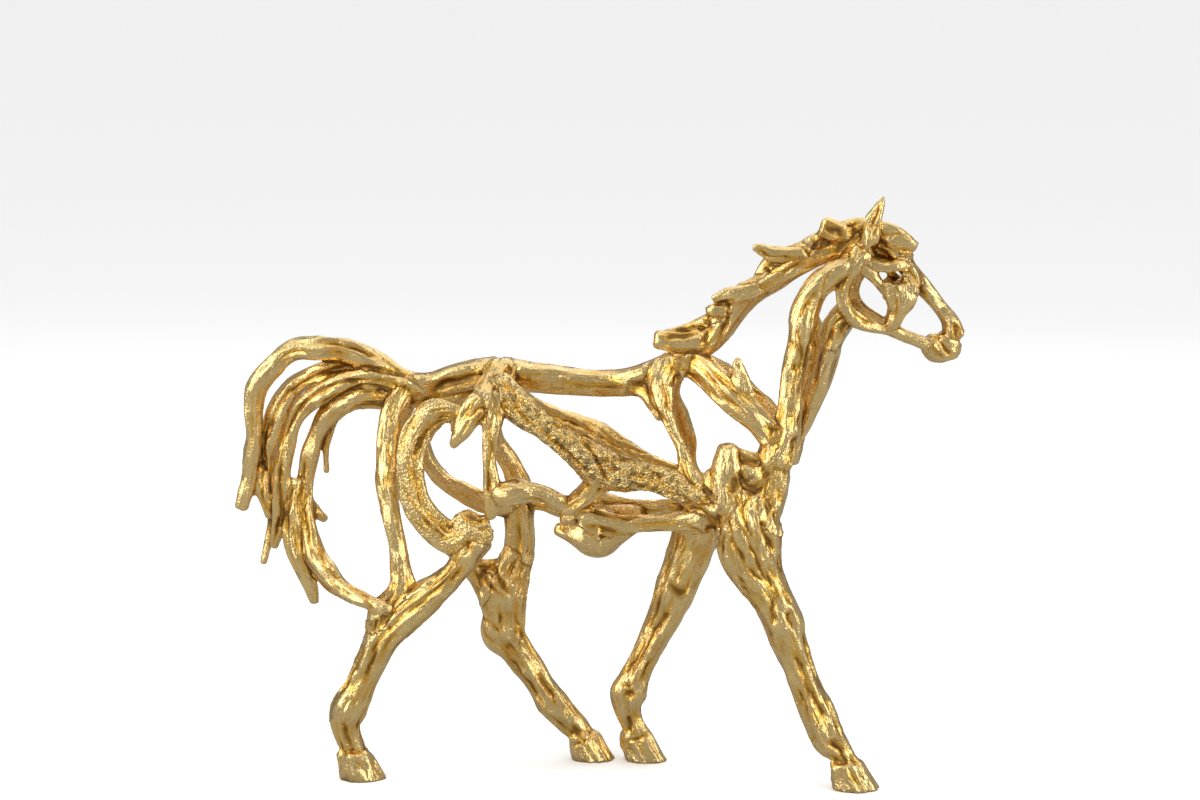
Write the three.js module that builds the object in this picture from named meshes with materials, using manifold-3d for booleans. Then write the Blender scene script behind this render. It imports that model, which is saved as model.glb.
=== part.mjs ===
import * as THREE from 'three';
import { mergeVertices } from 'three/addons/utils/BufferGeometryUtils.js';
import Module from 'manifold-3d';

// A walking horse, cast in one piece from resin: an openwork of lumpy hand-formed strands.
// Millimetres, +X towards the head, +Y towards the far side, +Z up, soles on Z = 0.

// Driving sizes
const LENGTH = 500;
const STANCE = 66;
const HOOF_LENGTH = 29;
const HOOF_WIDTH = 25;
const HOOF_HEIGHT = 18;
// A hoof's top as a share of its sole, and how far it leans back for each unit of height
const HOOF_TAPER = 0.74;
const HOOF_LEAN = 0.42;
const HOOF_SIDES = 10;

// The pose is a free form, kept as shares of the length. It is laid out on a perspective side drawing,
// ruled in squares that count from the drawing's top left corner.
const SQUARES_LONG = 729;
const SQUARE = LENGTH / SQUARES_LONG;
const DRAWING_MIDDLE = { across: 600, down: 400 };

// The eye that the drawing belongs to looks at a point over the middle of the figure.
const EYE_BACK = 4.4 * LENGTH;
const EYE_TURN = THREE.MathUtils.degToRad(4.6);
const EYE_DIP = THREE.MathUtils.degToRad(8.1);
const TARGET_HEIGHT = 0.522 * LENGTH;
const SIGHT = new THREE.Vector3(
  -Math.sin(EYE_TURN) * Math.cos(EYE_DIP),
  Math.cos(EYE_TURN) * Math.cos(EYE_DIP),
  -Math.sin(EYE_DIP),
);
const SIGHT_RIGHT = new THREE.Vector3(Math.cos(EYE_TURN), Math.sin(EYE_TURN), 0);
const SIGHT_UP = new THREE.Vector3().crossVectors(SIGHT_RIGHT, SIGHT);
const EYE_POINT = new THREE.Vector3(0, 0, TARGET_HEIGHT).addScaledVector(SIGHT, -EYE_BACK);

// Half the stance, in squares: how far the feet stand from the figure's middle plane.
const FOOT = STANCE / 2 / SQUARE;
const NEAR = -1;
const FAR = 1;

// Where the drawing's ground line lies for the near feet and for the far feet
const NEAR_SOLE_DOWN = 781;
const FAR_SOLE_DOWN = 758;

// Hand-formed look: how far a strand's radius wavers, how its waver runs along and around it,
// and how far its facets wind round at each step.
const WAVER = 0.06;
const WAVER_ALONG = 2.3;
const WAVER_AROUND = 3;
const WIND = 0.3;

// How far a strand's rounded end stands out, as a share of its last half width
const END_ROUND = 0.45;

// A faceted section is drawn a little wider than its strand, because its flats lie inside the round.
const FACET_GAIN = 1.07;

// Sides of a strand's section
const SIDES = 5;
const FINE_SIDES = 4;

// The spot behind a square of the drawing, at a depth from the middle plane (far side positive, in squares).
function place(across, down, depth) {
  const ray = SIGHT.clone().multiplyScalar(EYE_BACK / SQUARE)
    .addScaledVector(SIGHT_RIGHT, across - DRAWING_MIDDLE.across)
    .addScaledVector(SIGHT_UP, DRAWING_MIDDLE.down - down);
  const reach = (depth * SQUARE - EYE_POINT.y) / ray.y;
  return EYE_POINT.clone().addScaledVector(ray, reach);
}

// The same spots on the other side of the middle plane.
function mirrored(spots) {
  return spots.map((spot) => ({ centre: spot.centre.clone().setY(-spot.centre.y), half: spot.half }));
}

// Each row of a layout is [across, down, depth, half width].
function laidOut(rows) {
  return rows.map(([across, down, depth, half]) => ({
    centre: place(across, down, depth),
    half: half * SQUARE,
  }));
}

// A geometry whose faces share their corners, so that it is one closed body.
function closed(geometry) {
  geometry.deleteAttribute('normal');
  geometry.deleteAttribute('uv');
  return mergeVertices(geometry);
}

// One strand: a ball bent along a smooth curve. `deep` is its half thickness as a share of its half width.
function bend(spots, { deep = 0.85, sides = SIDES } = {}) {
  const curve = new THREE.CatmullRomCurve3(spots.map((spot) => spot.centre), false, 'centripetal');
  const rings = spots.length;
  const rows = rings + 1;
  const geometry = closed(new THREE.SphereGeometry(1, sides, rows));
  const position = geometry.attributes.position;
  const across = new THREE.Vector3(0, 1, 0);
  const point = new THREE.Vector3();
  for (let index = 0; index < position.count; index += 1) {
    point.fromBufferAttribute(position, index);
    const row = Math.round(Math.acos(THREE.MathUtils.clamp(point.y, -1, 1)) / Math.PI * rows);
    const along = THREE.MathUtils.clamp((row - 1) / (rings - 1), 0, 1);
    const spoke = along * (spots.length - 1);
    const before = Math.min(Math.floor(spoke), spots.length - 2);
    const half = THREE.MathUtils.lerp(spots[before].half, spots[before + 1].half, spoke - before);
    const tangent = curve.getTangent(along);
    const wide = new THREE.Vector3().crossVectors(tangent, across).normalize();
    const thick = new THREE.Vector3().crossVectors(wide, tangent).normalize();
    const centre = curve.getPoint(along);
    if (row === 0 || row === rows) {
      point.copy(centre).addScaledVector(tangent, (row === 0 ? -END_ROUND : END_ROUND) * half);
    } else {
      const turn = WIND * row - Math.atan2(point.z, point.x);
      const radius = FACET_GAIN * half * (1 + WAVER * Math.sin(WAVER_ALONG * row + WAVER_AROUND * turn));
      point.copy(centre)
        .addScaledVector(wide, Math.cos(turn) * radius)
        .addScaledVector(thick, Math.sin(turn) * radius * deep);
    }
    position.setXYZ(index, point.x, point.y, point.z);
  }
  return geometry;
}

function strand(rows, form) {
  return [bend(laidOut(rows), form)];
}

function pair(rows, form) {
  const spots = laidOut(rows);
  return [bend(spots, form), bend(mirrored(spots), form)];
}

const FLAT = { deep: 0.6 };
const FINE = { sides: FINE_SIDES };
const FINE_FLAT = { sides: FINE_SIDES, deep: 0.6 };

function back() {
  return strand([
    [402, 386, 0, 13], [430, 384, 0, 12.5], [462, 376, 0, 14], [500, 373, 0, 15.5], [545, 379, 0, 14],
    [600, 383, 0, 12.5], [640, 379, 0, 15.5], [672, 366, 0, 15], [696, 356, 0, 12],
  ], { deep: 1.2 });
}

// The croup: a plate on each side, with a leaf that hangs into the thigh's window.
function croup() {
  return [
    ...pair([[503, 368, -4, 13], [496, 384, -26, 18], [488, 401, -42, 19], [474, 412, -46, 11]], FLAT),
    ...pair([[480, 405, -46, 14], [468, 419, -49, 10.5], [460, 431, -50, 7.5], [452, 446, -50, 2.5]], FLAT),
    ...pair([[462, 408, -38, 7], [455, 420, -38, 4], [451, 432, -38, 1.5]]),
  ];
}

// The hindquarter: three strands a side run from the croup down to the stifle and the gaskin.
function hindquarter() {
  return [
    ...strand([
      [402, 392, -6, 13], [391, 414, -18, 12.5], [386, 447, -28, 11.5], [386, 485, -36, 11],
      [390, 515, -42, 10], [398, 545, -46, 9.5], [400, 566, -48, 11], [400, 590, -49, 15],
      [387, 612, -49, 20], [382, 634, -48, 17],
    ], { deep: 0.8 }),
    ...strand([
      [410, 392, 6, 12], [399, 415, 16, 11], [394, 446, 29, 9], [397, 472, 36, 9], [403, 496, 42, 9.5],
      [417, 519, 46, 10], [436, 539, 48, 10], [456, 553, 49, 10], [476, 574, 49, 11], [494, 600, 48, 14],
    ]),
    ...strand([
      [458, 409, -40, 8], [434, 412, -36, 11], [418, 432, -38, 13.5], [410, 457, -42, 13.5],
      [410, 482, -46, 13], [417, 504, -49, 13], [431, 522, -51, 12.5], [454, 536, -52, 17],
      [475, 533, -52, 23], [487, 528, -52, 14],
    ], FLAT),
    ...strand([
      [462, 397, 40, 9], [438, 404, 36, 9], [421, 428, 38, 8], [424, 458, 42, 9], [442, 484, 46, 10],
      [467, 499, 49, 10], [491, 507, 50, 11], [512, 521, 50, 14],
    ]),
    ...strand([
      [496, 396, -44, 13], [493, 420, -50, 10.5], [492, 440, -52, 8], [489, 457, -53, 6.5],
      [491, 477, -54, 7.5], [492, 498, -54, 8], [490, 518, -54, 5],
    ]),
    ...strand([
      [500, 388, 42, 14], [494, 420, 48, 9.5], [498, 445, 52, 9], [512, 469, 54, 10], [520, 490, 54, 12],
      [520, 515, 53, 14], [521, 540, 52, 14.5], [515, 564, 50, 19],
    ]),
  ];
}

// The flank: two diagonal bands, two folds towards the stifle, and the sheath under the belly.
function flank() {
  return [
    ...strand([
      [499, 384, -36, 15], [516, 402, -46, 15.5], [540, 424, -52, 13], [560, 438, -54, 14],
      [582, 453, -55, 18], [602, 469, -54, 20], [625, 474, -52, 18], [652, 479, -51, 14.5],
      [680, 487, -50, 15], [706, 497, -48, 18],
    ], FLAT),
    ...strand([
      [502, 379, 28, 13], [523, 402, 46, 10.5], [549, 420, 52, 11], [578, 432, 54, 16], [606, 449, 54, 20],
      [634, 463, 52, 17], [660, 473, 51, 13], [686, 482, 50, 14], [710, 490, 48, 17],
    ], FLAT),
    ...strand([
      [497, 494, -54, 12], [518, 492, -53, 13], [542, 495, -50, 10], [562, 506, -46, 12.5],
      [590, 510, -42, 11],
    ]),
    ...strand([[520, 502, 54, 9], [543, 503, 50, 8], [563, 508, 46, 10], [590, 504, 42, 10]]),
    ...strand([[568, 508, -46, 11], [587, 493, -50, 12], [597, 475, -53, 14]], FINE_FLAT),
    ...strand([[572, 506, 46, 10], [590, 490, 50, 12], [606, 468, 53, 12]], FINE_FLAT),
    ...pair([
      [584, 514, -42, 12], [622, 525, -42, 8.5], [672, 525, -44, 8], [704, 520, -46, 16],
    ]),
    ...pair([
      [556, 531, -30, 6], [567, 532, -32, 10], [580, 532, -32, 18], [599, 534, -26, 24],
      [614, 530, -30, 17], [634, 526, -36, 9],
    ], { deep: 1.1 }),
    ...strand([[570, 532, 0, 10], [598, 530, 0, 22], [622, 524, 0, 10]], { deep: 1.6 }),
  ];
}

// The shoulder: strands from the withers, the blade's band, a knob at its point, and the chest.
function shoulder() {
  return [
    ...strand([
      [666, 366, -4, 15], [659, 390, -18, 14], [663, 414, -28, 10.5], [670, 432, -34, 8],
      [678, 450, -40, 8], [688, 472, -46, 10], [698, 494, -49, 14],
    ]),
    ...strand([
      [670, 368, 6, 14], [671, 392, 18, 9], [678, 416, 30, 8], [683, 440, 38, 8], [686, 464, 44, 9],
      [700, 492, 48, 13],
    ]),
    ...pair([
      [690, 363, -4, 15], [703, 372, -14, 16], [720, 386, -24, 17], [738, 402, -32, 17],
      [758, 421, -38, 15], [776, 441, -38, 15],
    ], FLAT),
    ...strand([[744, 394, -31, 9], [743, 377, -30, 6.5], [738, 361, -29, 3]]),
    ...strand([[727, 447, -47, 10], [728, 464, -48, 16], [728, 484, -48, 21], [730, 504, -47, 26]]),
    ...strand([
      [728, 462, 47, 9], [730, 478, 48, 16], [732, 498, 47, 24],
    ]),
    ...strand([
      [728, 458, -44, 8], [742, 463, -44, 7], [760, 468, -42, 10],
    ]),
    ...strand([
      [732, 472, 44, 8], [746, 476, 44, 8], [764, 478, 42, 10],
    ]),
    ...pair([
      [780, 434, -36, 14], [775, 458, -38, 16], [770, 482, -40, 18], [760, 508, -44, 22],
      [750, 530, -46, 24],
    ]),
    ...strand([
      [845, 320, 0, 12], [833, 340, 0, 12], [827, 362, 0, 11], [819, 384, 0, 10], [810, 407, 0, 8.5],
      [801, 430, 0, 9], [787, 453, -2, 12], [774, 476, -4, 16], [768, 500, -6, 19], [756, 520, -6, 20],
    ], { deep: 1.3 }),
    ...strand([
      [752, 508, -40, 20], [756, 500, -14, 20], [758, 496, 14, 20], [760, 494, 40, 20],
    ], { deep: 1 }),
  ];
}

function neck() {
  return [
    ...strand([
      [850, 268, -14, 11], [833, 276, -18, 13], [817, 290, -20, 14], [806, 310, -23, 13.5],
      [802, 335, -26, 13.5], [798, 358, -29, 13.5], [792, 384, -32, 12], [790, 410, -35, 12.5],
      [785, 438, -38, 14], [776, 462, -40, 16],
    ]),
    ...strand([
      [852, 262, 14, 11], [834, 268, 18, 10], [818, 282, 20, 10], [809, 304, 23, 9], [811, 330, 26, 10],
      [815, 352, 29, 11], [811, 378, 32, 11], [804, 405, 35, 11], [795, 432, 38, 12], [785, 458, 40, 15],
    ]),
    ...strand([
      [684, 355, 0, 13.5], [706, 343, 0, 12.5], [722, 327, 0, 14.5], [738, 309, 0, 14.5], [757, 291, 0, 13],
      [780, 276, 0, 13], [802, 263, 0, 12], [822, 254, 0, 11], [842, 246, 0, 12], [860, 241, 0, 14],
    ]),
  ];
}

// The mane's locks spring from the crest and point back towards the withers.
function mane() {
  return [
    ...strand([[700, 340, -6, 11], [684, 343, -7, 11], [670, 340, -8, 10], [659, 338, -8, 9]], FINE),
    ...strand([
      [722, 318, 0, 12], [704, 322, 3, 7], [684, 329, 4, 5], [663, 335, 2, 5],
    ], FINE),
    ...strand([
      [727, 312, -4, 9], [716, 313, -4, 7], [707, 310, -4, 3.5],
    ], FINE),
    ...strand([
      [757, 291, -5, 10], [740, 294, -7, 9], [726, 295, -8, 6.5], [714, 299, -8, 2],
    ], FINE_FLAT),
    ...strand([
      [774, 277, 1, 10], [758, 281, -1, 8], [747, 283, -3, 5], [738, 285, -3, 2.5],
    ], FINE_FLAT),
    ...strand([
      [757, 288, 2, 8], [764, 274, 3, 8], [776, 262, 3, 9], [800, 252, 2, 9], [824, 243, 0, 9],
    ], FINE),
    ...strand([[812, 252, -5, 7], [790, 254, -7, 6.5], [772, 254, -8, 7.5], [753, 248, -8, 3]], FINE_FLAT),
    ...strand([[812, 248, -2, 7], [800, 247, -2, 5], [787, 248, -2, 2]], FINE_FLAT),
    ...strand([[838, 240, 2, 10], [820, 240, 1, 9], [804, 248, 0, 7]], FINE),
    ...strand([[826, 229, -7, 10], [836, 231, -8, 11], [846, 232, -6, 9]], FINE),
    ...strand([[845, 229, -2, 8], [858, 224, -2, 6.5], [870, 226, -2, 7]], FINE),
  ];
}

// The head: the two sides meet at the poll, along the nose and at the muzzle.
function head() {
  return [
    ...strand([
      [844, 266, 0, 12], [858, 252, 0, 15], [868, 240, 0, 12],
    ], { deep: 1.3 }),
    ...pair([
      [868, 252, -12, 9], [870, 236, -15, 9.5], [874, 222, -16, 8], [879, 209, -15, 5],
      [883, 199, -14, 2],
    ], FINE),
    ...strand([
      [868, 232, -2, 8], [882, 231, -5, 9], [897, 238, -6, 10], [909, 243, -6, 7.5], [916, 245, -6, 4],
    ], FINE_FLAT),
    ...strand([[866, 243, 0, 10], [880, 248, 0, 8], [894, 252, 0, 9], [906, 262, 0, 10]], { deep: 1.3 }),
    ...strand([
      [896, 252, 0, 9], [908, 267, 0, 10.5], [922, 284, 0, 10], [937, 303, 0, 9], [948, 319, 0, 10],
      [954, 335, 0, 11],
    ], { deep: 1.15 }),
    ...strand([[928, 344, 0, 9], [937, 347, 0, 15.5], [947, 347, 0, 16.5], [955, 348, 0, 11]], FINE),
    ...strand([
      [934, 347, -6, 7], [918, 341, -9, 6], [902, 335, -11, 6], [886, 329, -13, 6], [868, 325, -15, 7],
      [852, 315, -16, 9], [843, 300, -17, 8], [844, 284, -17, 9], [853, 270, -17, 9], [863, 256, -15, 10],
    ], FINE),
    ...strand([
      [934, 345, 6, 7], [918, 339, 9, 5], [902, 333, 11, 5], [888, 325, 13, 5], [873, 316, 15, 5.5],
      [860, 307, 17, 6.5], [853, 294, 18, 7], [855, 281, 18, 7], [861, 268, 17, 8], [867, 254, 15, 10],
    ], FINE),
    ...strand([
      [861, 264, -16, 8], [873, 277, -18, 6], [884, 290, -18, 5.5], [894, 303, -17, 6],
      [896, 316, -15, 5.5], [889, 328, -13, 6],
    ], FINE),
    ...strand([
      [866, 259, 16, 8], [882, 270, 18, 5], [893, 284, 18, 5], [901, 298, 17, 5.5], [901, 312, 15, 5],
      [893, 324, 13, 5],
    ], FINE),
    ...pair([
      [864, 262, -16, 7], [877, 267, -18, 5], [890, 268, -18, 5.5], [902, 265, -14, 6],
      [911, 272, -7, 8],
    ], FINE),
    ...pair([[882, 287, -18, 6], [894, 294, -18, 7.5], [905, 291, -15, 9], [911, 278, -8, 9]], FINE_FLAT),
    ...pair([[903, 284, -14, 11], [903, 298, -15, 12], [899, 311, -14, 8], [894, 323, -13, 5]], FINE_FLAT),
    ...strand([[846, 318, -12, 10], [838, 326, -6, 11], [834, 340, -2, 11]], FINE),
    ...strand([[846, 312, 12, 10], [840, 322, 6, 11], [834, 340, 2, 11]], FINE),
  ];
}

function tail() {
  return [
    ...strand([
      [424, 383, 0, 11], [400, 378, 0, 12], [375, 363, -1, 14], [345, 351, -3, 13], [318, 348, -4, 12],
      [294, 350, -5, 10], [272, 366, -8, 9.5], [255, 386, -10, 10], [251.5, 408, -10, 9],
      [254, 442, -10, 7.5], [249, 482, -8, 8.5], [242.5, 506, -8, 7.5],
    ]),
    ...strand([
      [420, 390, 3, 10], [390, 374, 4, 11], [352, 366, 5, 9], [320, 374, 6, 10], [297, 386, 7, 10],
      [281, 407, 7, 10], [273, 432, 6, 10], [266, 460, 5, 8.5], [266, 490, 5, 9], [272, 516, 4, 7.5],
      [267, 543, 3, 5], [264, 561, 2, 3.5],
    ]),
    ...strand([
      [420, 392, -4, 10], [388, 381, -7, 10], [350, 379, -9, 10], [324, 390, -10, 10], [305, 402, -10, 8.5],
      [293, 420, -10, 7], [288, 442, -9, 7.5], [283, 466, -9, 8], [279, 492, -8, 8], [279, 520, -6, 8],
      [274, 547, -4, 4],
    ]),
    ...strand([
      [418, 394, 0, 11], [390, 395, 0, 13], [358, 396, 1, 13.5], [335, 408, 2, 11.5], [319, 430, 2, 9],
      [308, 455, 1, 9], [305, 480, 0, 8.5], [305, 505, -3, 10], [310, 532, -8, 10], [319, 559, -16, 14],
      [340, 585, -34, 9], [367, 601, -54, 8], [389, 609, -61, 7],
    ], { deep: 0.9 }),
    ...strand([[348, 401, 8, 9], [333, 417, 8, 6.5], [325.5, 442, 8, 4.5], [325.5, 470, 8, 2.5]]),
    ...strand([
      [296, 470, -8, 5], [293, 490, -6, 9], [293, 515, -6, 12], [298, 543, -8, 12], [306, 568, -11, 9],
      [314, 588, -12, 6], [316, 600, -12, 4],
    ]),
    ...strand([[308, 504, 4, 7], [317, 513, 5, 6], [325, 519, 6, 3.5]]),
    ...strand([[318, 572, -14, 8], [334, 589, -28, 6], [356, 604, -46, 4.5], [372, 610, -54, 3]]),
    ...strand([[262, 470, -3, 7], [262, 490, -3, 8], [270, 515, -2, 6]]),
  ];
}

// A hoof: a short cone that leans back from its toe to the pastern, with a flat sole.
function hoof(toe, side) {
  const geometry = closed(new THREE.CylinderGeometry(HOOF_TAPER, 1, 1, HOOF_SIDES));
  geometry.rotateX(Math.PI / 2);
  geometry.translate(0, 0, 0.5);
  geometry.scale(HOOF_LENGTH / 2, HOOF_WIDTH / 2, HOOF_HEIGHT);
  geometry.applyMatrix4(new THREE.Matrix4().makeShear(0, 0, 0, 0, -HOOF_LEAN, 0));
  geometry.translate(toe - HOOF_LENGTH / 2, side * STANCE / 2, 0);
  return geometry;
}

function soleX(across, side) {
  const down = side === NEAR ? NEAR_SOLE_DOWN : FAR_SOLE_DOWN;
  return place(across, down, side * FOOT).x;
}

function legs() {
  return [
    ...strand([
      [742, 500, -46, 26], [747, 528, -47, 32], [750, 556, -FOOT, 32], [760, 579, -FOOT, 26],
      [773, 602, -FOOT, 22], [781, 622, -FOOT, 21.5], [787, 642, -FOOT, 18.5], [799, 667, -FOOT, 15],
      [808, 690, -FOOT, 15], [820, 715, -FOOT, 18], [829, 738, -FOOT, 15], [838, 752, -FOOT, 12.5],
      [850, 768, -FOOT, 12],
    ]),
    hoof(soleX(878, NEAR), NEAR),
    ...strand([
      [704, 498, 46, 24], [697, 528, FOOT, 26], [689, 552, FOOT, 24], [681, 572, FOOT, 21.5],
      [671, 598, FOOT, 20], [663, 618, FOOT, 16], [652, 640, FOOT, 14], [636, 672, FOOT, 14.5],
      [627, 694, FOOT, 19.5], [627, 710, FOOT, 15], [631, 723, FOOT, 11.5], [640, 742, FOOT, 12.5],
    ]),
    hoof(soleX(665, FAR), FAR),
    ...strand([
      [476, 540, -52, 22], [464, 562, -52, 18], [447, 580, -50, 17], [425, 599, -50, 19],
      [402, 616, -50, 20], [384, 638, -FOOT, 19], [371, 663, -FOOT, 16], [358, 688, -FOOT, 15],
      [346, 712, -FOOT, 18.5], [345, 726, -FOOT, 15], [349, 740, -FOOT, 12.5], [357, 758, -FOOT, 12],
    ]),
    hoof(soleX(385, NEAR), NEAR),
    ...strand([
      [520, 544, 52, 15], [514, 568, 50, 20], [506, 592, FOOT, 23], [505, 614, FOOT, 20.5],
      [505, 633, FOOT, 23], [515, 649, FOOT, 19.5], [529, 665, FOOT, 15.5], [543, 684, FOOT, 14.5],
      [555, 703, FOOT, 16.5], [563, 719, FOOT, 15.5], [576, 731, FOOT, 12.5], [586, 745, FOOT, 12],
    ]),
    hoof(soleX(614, FAR), FAR),
  ];
}

const wasm = await Module();
wasm.setup();

function toSolid(geometry) {
  return new wasm.Manifold(new wasm.Mesh({
    numProp: 3,
    vertProperties: new Float32Array(geometry.attributes.position.array),
    triVerts: new Uint32Array(geometry.index.array),
  }));
}

function toGeometry(solid) {
  const mesh = solid.getMesh();
  const geometry = new THREE.BufferGeometry();
  geometry.setAttribute('position', new THREE.BufferAttribute(new Float32Array(mesh.vertProperties), 3));
  geometry.setIndex(new THREE.BufferAttribute(new Uint32Array(mesh.triVerts), 1));
  geometry.computeVertexNormals();
  return geometry;
}

// Everything below the soles' plane is cut away, so that the hooves stand flat.
function ground() {
  const geometry = closed(new THREE.BoxGeometry(2 * LENGTH, LENGTH, LENGTH / 4));
  geometry.translate(0, 0, -LENGTH / 8);
  return geometry;
}

const forms = [
  ...back(), ...croup(), ...hindquarter(), ...flank(), ...shoulder(), ...neck(), ...mane(), ...head(),
  ...tail(), ...legs(),
];
const cast = forms.map(toSolid).reduce((whole, next) => whole.add(next)).subtract(toSolid(ground()));

// The origin is the middle of the figure's footprint.
const shape = toGeometry(cast);
shape.computeBoundingBox();
const middle = shape.boundingBox.getCenter(new THREE.Vector3());
shape.translate(-middle.x, -middle.y, 0);

const gilding = new THREE.MeshStandardMaterial({ color: 0xc9a253, roughness: 0.38, metalness: 0.9 });
const horse = new THREE.Mesh(shape, gilding);
horse.name = 'horse';

const figurine = new THREE.Group();
figurine.add(horse);

export default figurine;
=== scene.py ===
import math

import bmesh
import bpy
import numpy as np
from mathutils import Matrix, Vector
from mathutils.kdtree import KDTree


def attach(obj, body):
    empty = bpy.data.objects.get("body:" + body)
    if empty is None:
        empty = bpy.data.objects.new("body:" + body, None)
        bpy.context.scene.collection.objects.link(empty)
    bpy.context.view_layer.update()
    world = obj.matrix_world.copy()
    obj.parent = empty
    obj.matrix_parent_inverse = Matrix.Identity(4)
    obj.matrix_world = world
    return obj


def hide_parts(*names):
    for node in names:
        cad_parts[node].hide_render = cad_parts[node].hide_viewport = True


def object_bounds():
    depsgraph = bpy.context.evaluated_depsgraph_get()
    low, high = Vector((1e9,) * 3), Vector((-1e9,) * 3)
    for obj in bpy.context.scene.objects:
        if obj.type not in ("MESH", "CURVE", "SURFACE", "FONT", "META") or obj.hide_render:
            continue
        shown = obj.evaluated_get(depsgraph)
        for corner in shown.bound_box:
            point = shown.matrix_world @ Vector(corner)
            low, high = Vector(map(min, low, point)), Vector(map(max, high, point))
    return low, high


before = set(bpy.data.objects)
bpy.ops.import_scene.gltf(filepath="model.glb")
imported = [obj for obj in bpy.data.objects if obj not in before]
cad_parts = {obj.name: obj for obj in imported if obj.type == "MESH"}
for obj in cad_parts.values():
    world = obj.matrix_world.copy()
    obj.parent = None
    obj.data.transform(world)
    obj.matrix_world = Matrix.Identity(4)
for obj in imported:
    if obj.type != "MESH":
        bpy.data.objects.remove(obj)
CAD_LOW, CAD_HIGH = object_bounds()

# The figure's own sizes, in metres, as its solid has them
LENGTH = 0.5
STANCE = 0.066
HOOF_LENGTH = 0.029
HOOF_WIDTH = 0.025
HOOF_LEAN = 0.37
MM = 0.001

# The pose is laid out in the reference photograph's frame, 1200 by 800 pixels, called the drawing here.
# A square is one of its pixels, counted from the top left corner. The rows were read off it.
SQUARES_LONG = 729
SQUARE = LENGTH / SQUARES_LONG
DRAWING_WIDTH = 1200
DRAWING_MIDDLE = (600, 400)

# The eye that the drawing belongs to. The camera stands there too.
EYE_BACK = 4.4 * LENGTH
EYE_TURN = math.radians(4.6)
EYE_DIP = math.radians(8.1)
TARGET_HEIGHT = 0.522 * LENGTH
SIGHT = np.array([
    -math.sin(EYE_TURN) * math.cos(EYE_DIP),
    math.cos(EYE_TURN) * math.cos(EYE_DIP),
    -math.sin(EYE_DIP),
])
SIGHT_RIGHT = np.array([math.cos(EYE_TURN), math.sin(EYE_TURN), 0.0])
SIGHT_UP = np.cross(SIGHT_RIGHT, SIGHT)
EYE_POINT = np.array([0.0, 0.0, TARGET_HEIGHT]) - SIGHT * EYE_BACK

FOOT = STANCE / 2 / SQUARE
NEAR = -1
FAR = 1
NEAR_SOLE_DOWN = 781
FAR_SOLE_DOWN = 758

# Modelling fineness
RING_STEP = 2.2 * MM
RING_SIDES = 22
VOXEL = 0.85 * MM
FILLET_PASSES = 10
TRIANGLE_LIMIT = 190000

# Hand-formed surface, as heights and lengths
LUMP_HEIGHT = 0.8 * MM
LUMP_LENGTH = 17 * MM
FOLD_ALONG = 34 * MM
FOLD_ACROSS = 5.6 * MM
CRUMPLE_ALONG = 7.0 * MM
CRUMPLE_ACROSS = 3.0 * MM
CRUMPLE_HEIGHT = 0.38
# Shares of the broad folds, the sharp ones and the fine ones, and the first and last one's count
BROAD_FOLD = 0.9
RIDGE_FOLD = 0.8
FINE_FOLD = 0.5
BROAD_COUNT = 0.62
FINE_COUNT = 1.9
# Shifts that keep patterns from the same noise apart
SHIFTS = (5.1, 7.3, 9.7, 31.7)
# Noise folded into sharp ridges: its level and its steepness
RIDGE_LEVEL = 0.6
CRUSH_LEVEL = 0.7
RIDGE_STEEP = 2.4
# A strand this wide or wider carries folds of full height
FOLD_FULL_HALF = 9 * MM


def place(across, down, depth):
    """The spot behind a square of the drawing, at a depth in squares from the middle plane."""
    ray = SIGHT * (EYE_BACK / SQUARE)
    ray = ray + SIGHT_RIGHT * (across - DRAWING_MIDDLE[0]) + SIGHT_UP * (DRAWING_MIDDLE[1] - down)
    reach = (depth * SQUARE - EYE_POINT[1]) / ray[1]
    return EYE_POINT + ray * reach


def strand(rows, deep=0.85, boxy=2.4, fold=1.0, crumple=0.1):
    """One strand from rows of (across, down, depth, half width). deep is its thickness share, boxy how
    square its section is (2 is round), fold the height in mm of the folds along it, and crumple the
    height in mm of its crushed foil."""
    spots = np.array([[*place(across, down, depth), half * SQUARE] for across, down, depth, half in rows])
    return [{"spots": spots, "deep": deep, "boxy": boxy, "fold": fold * MM, "crumple": crumple * MM}]


def pair(rows, **form):
    """A strand and its twin on the other side of the middle plane."""
    near = strand(rows, **form)[0]
    far = dict(near, spots=near["spots"] * np.array([1, -1, 1, 1]))
    return [near, far]


# Each hoof's toe on the drawing, and its side
HOOVES = [(879.5, NEAR), (666.5, FAR), (385.5, NEAR), (615.5, FAR)]


def back():
    return strand([
        (402, 386, 0, 13), (430, 384, 0, 12.5), (462, 376, 0, 14), (500, 373, 0, 15.5),
        (545, 379, 0, 14), (600, 383, 0, 12.5), (640, 380, 0, 15.5), (672, 367, 0, 15),
        (696, 357, 0, 12),
    ], deep=1.15, boxy=4.0, fold=0.45)


# The croup: a plate on each side, with a leaf that hangs into the thigh's window.
def croup():
    return [
        *pair([
            (503, 368, -4, 13), (496, 384, -26, 18), (488, 401, -42, 19), (474, 412, -46, 11),
        ], deep=0.6),
        *pair([
            (480, 405, -46, 16), (469, 419, -49, 12.5), (462, 432, -50, 9.5), (452.5, 447, -50, 4),
        ], deep=0.6),
        *pair([(462, 408, -38, 7), (455, 420, -38, 4), (451, 432, -38, 1.5)]),
        *strand([(412, 399, 0, 9), (438, 401, 0, 9), (462, 396, 0, 9), (484, 388, 0, 9)]),
    ]


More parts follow.
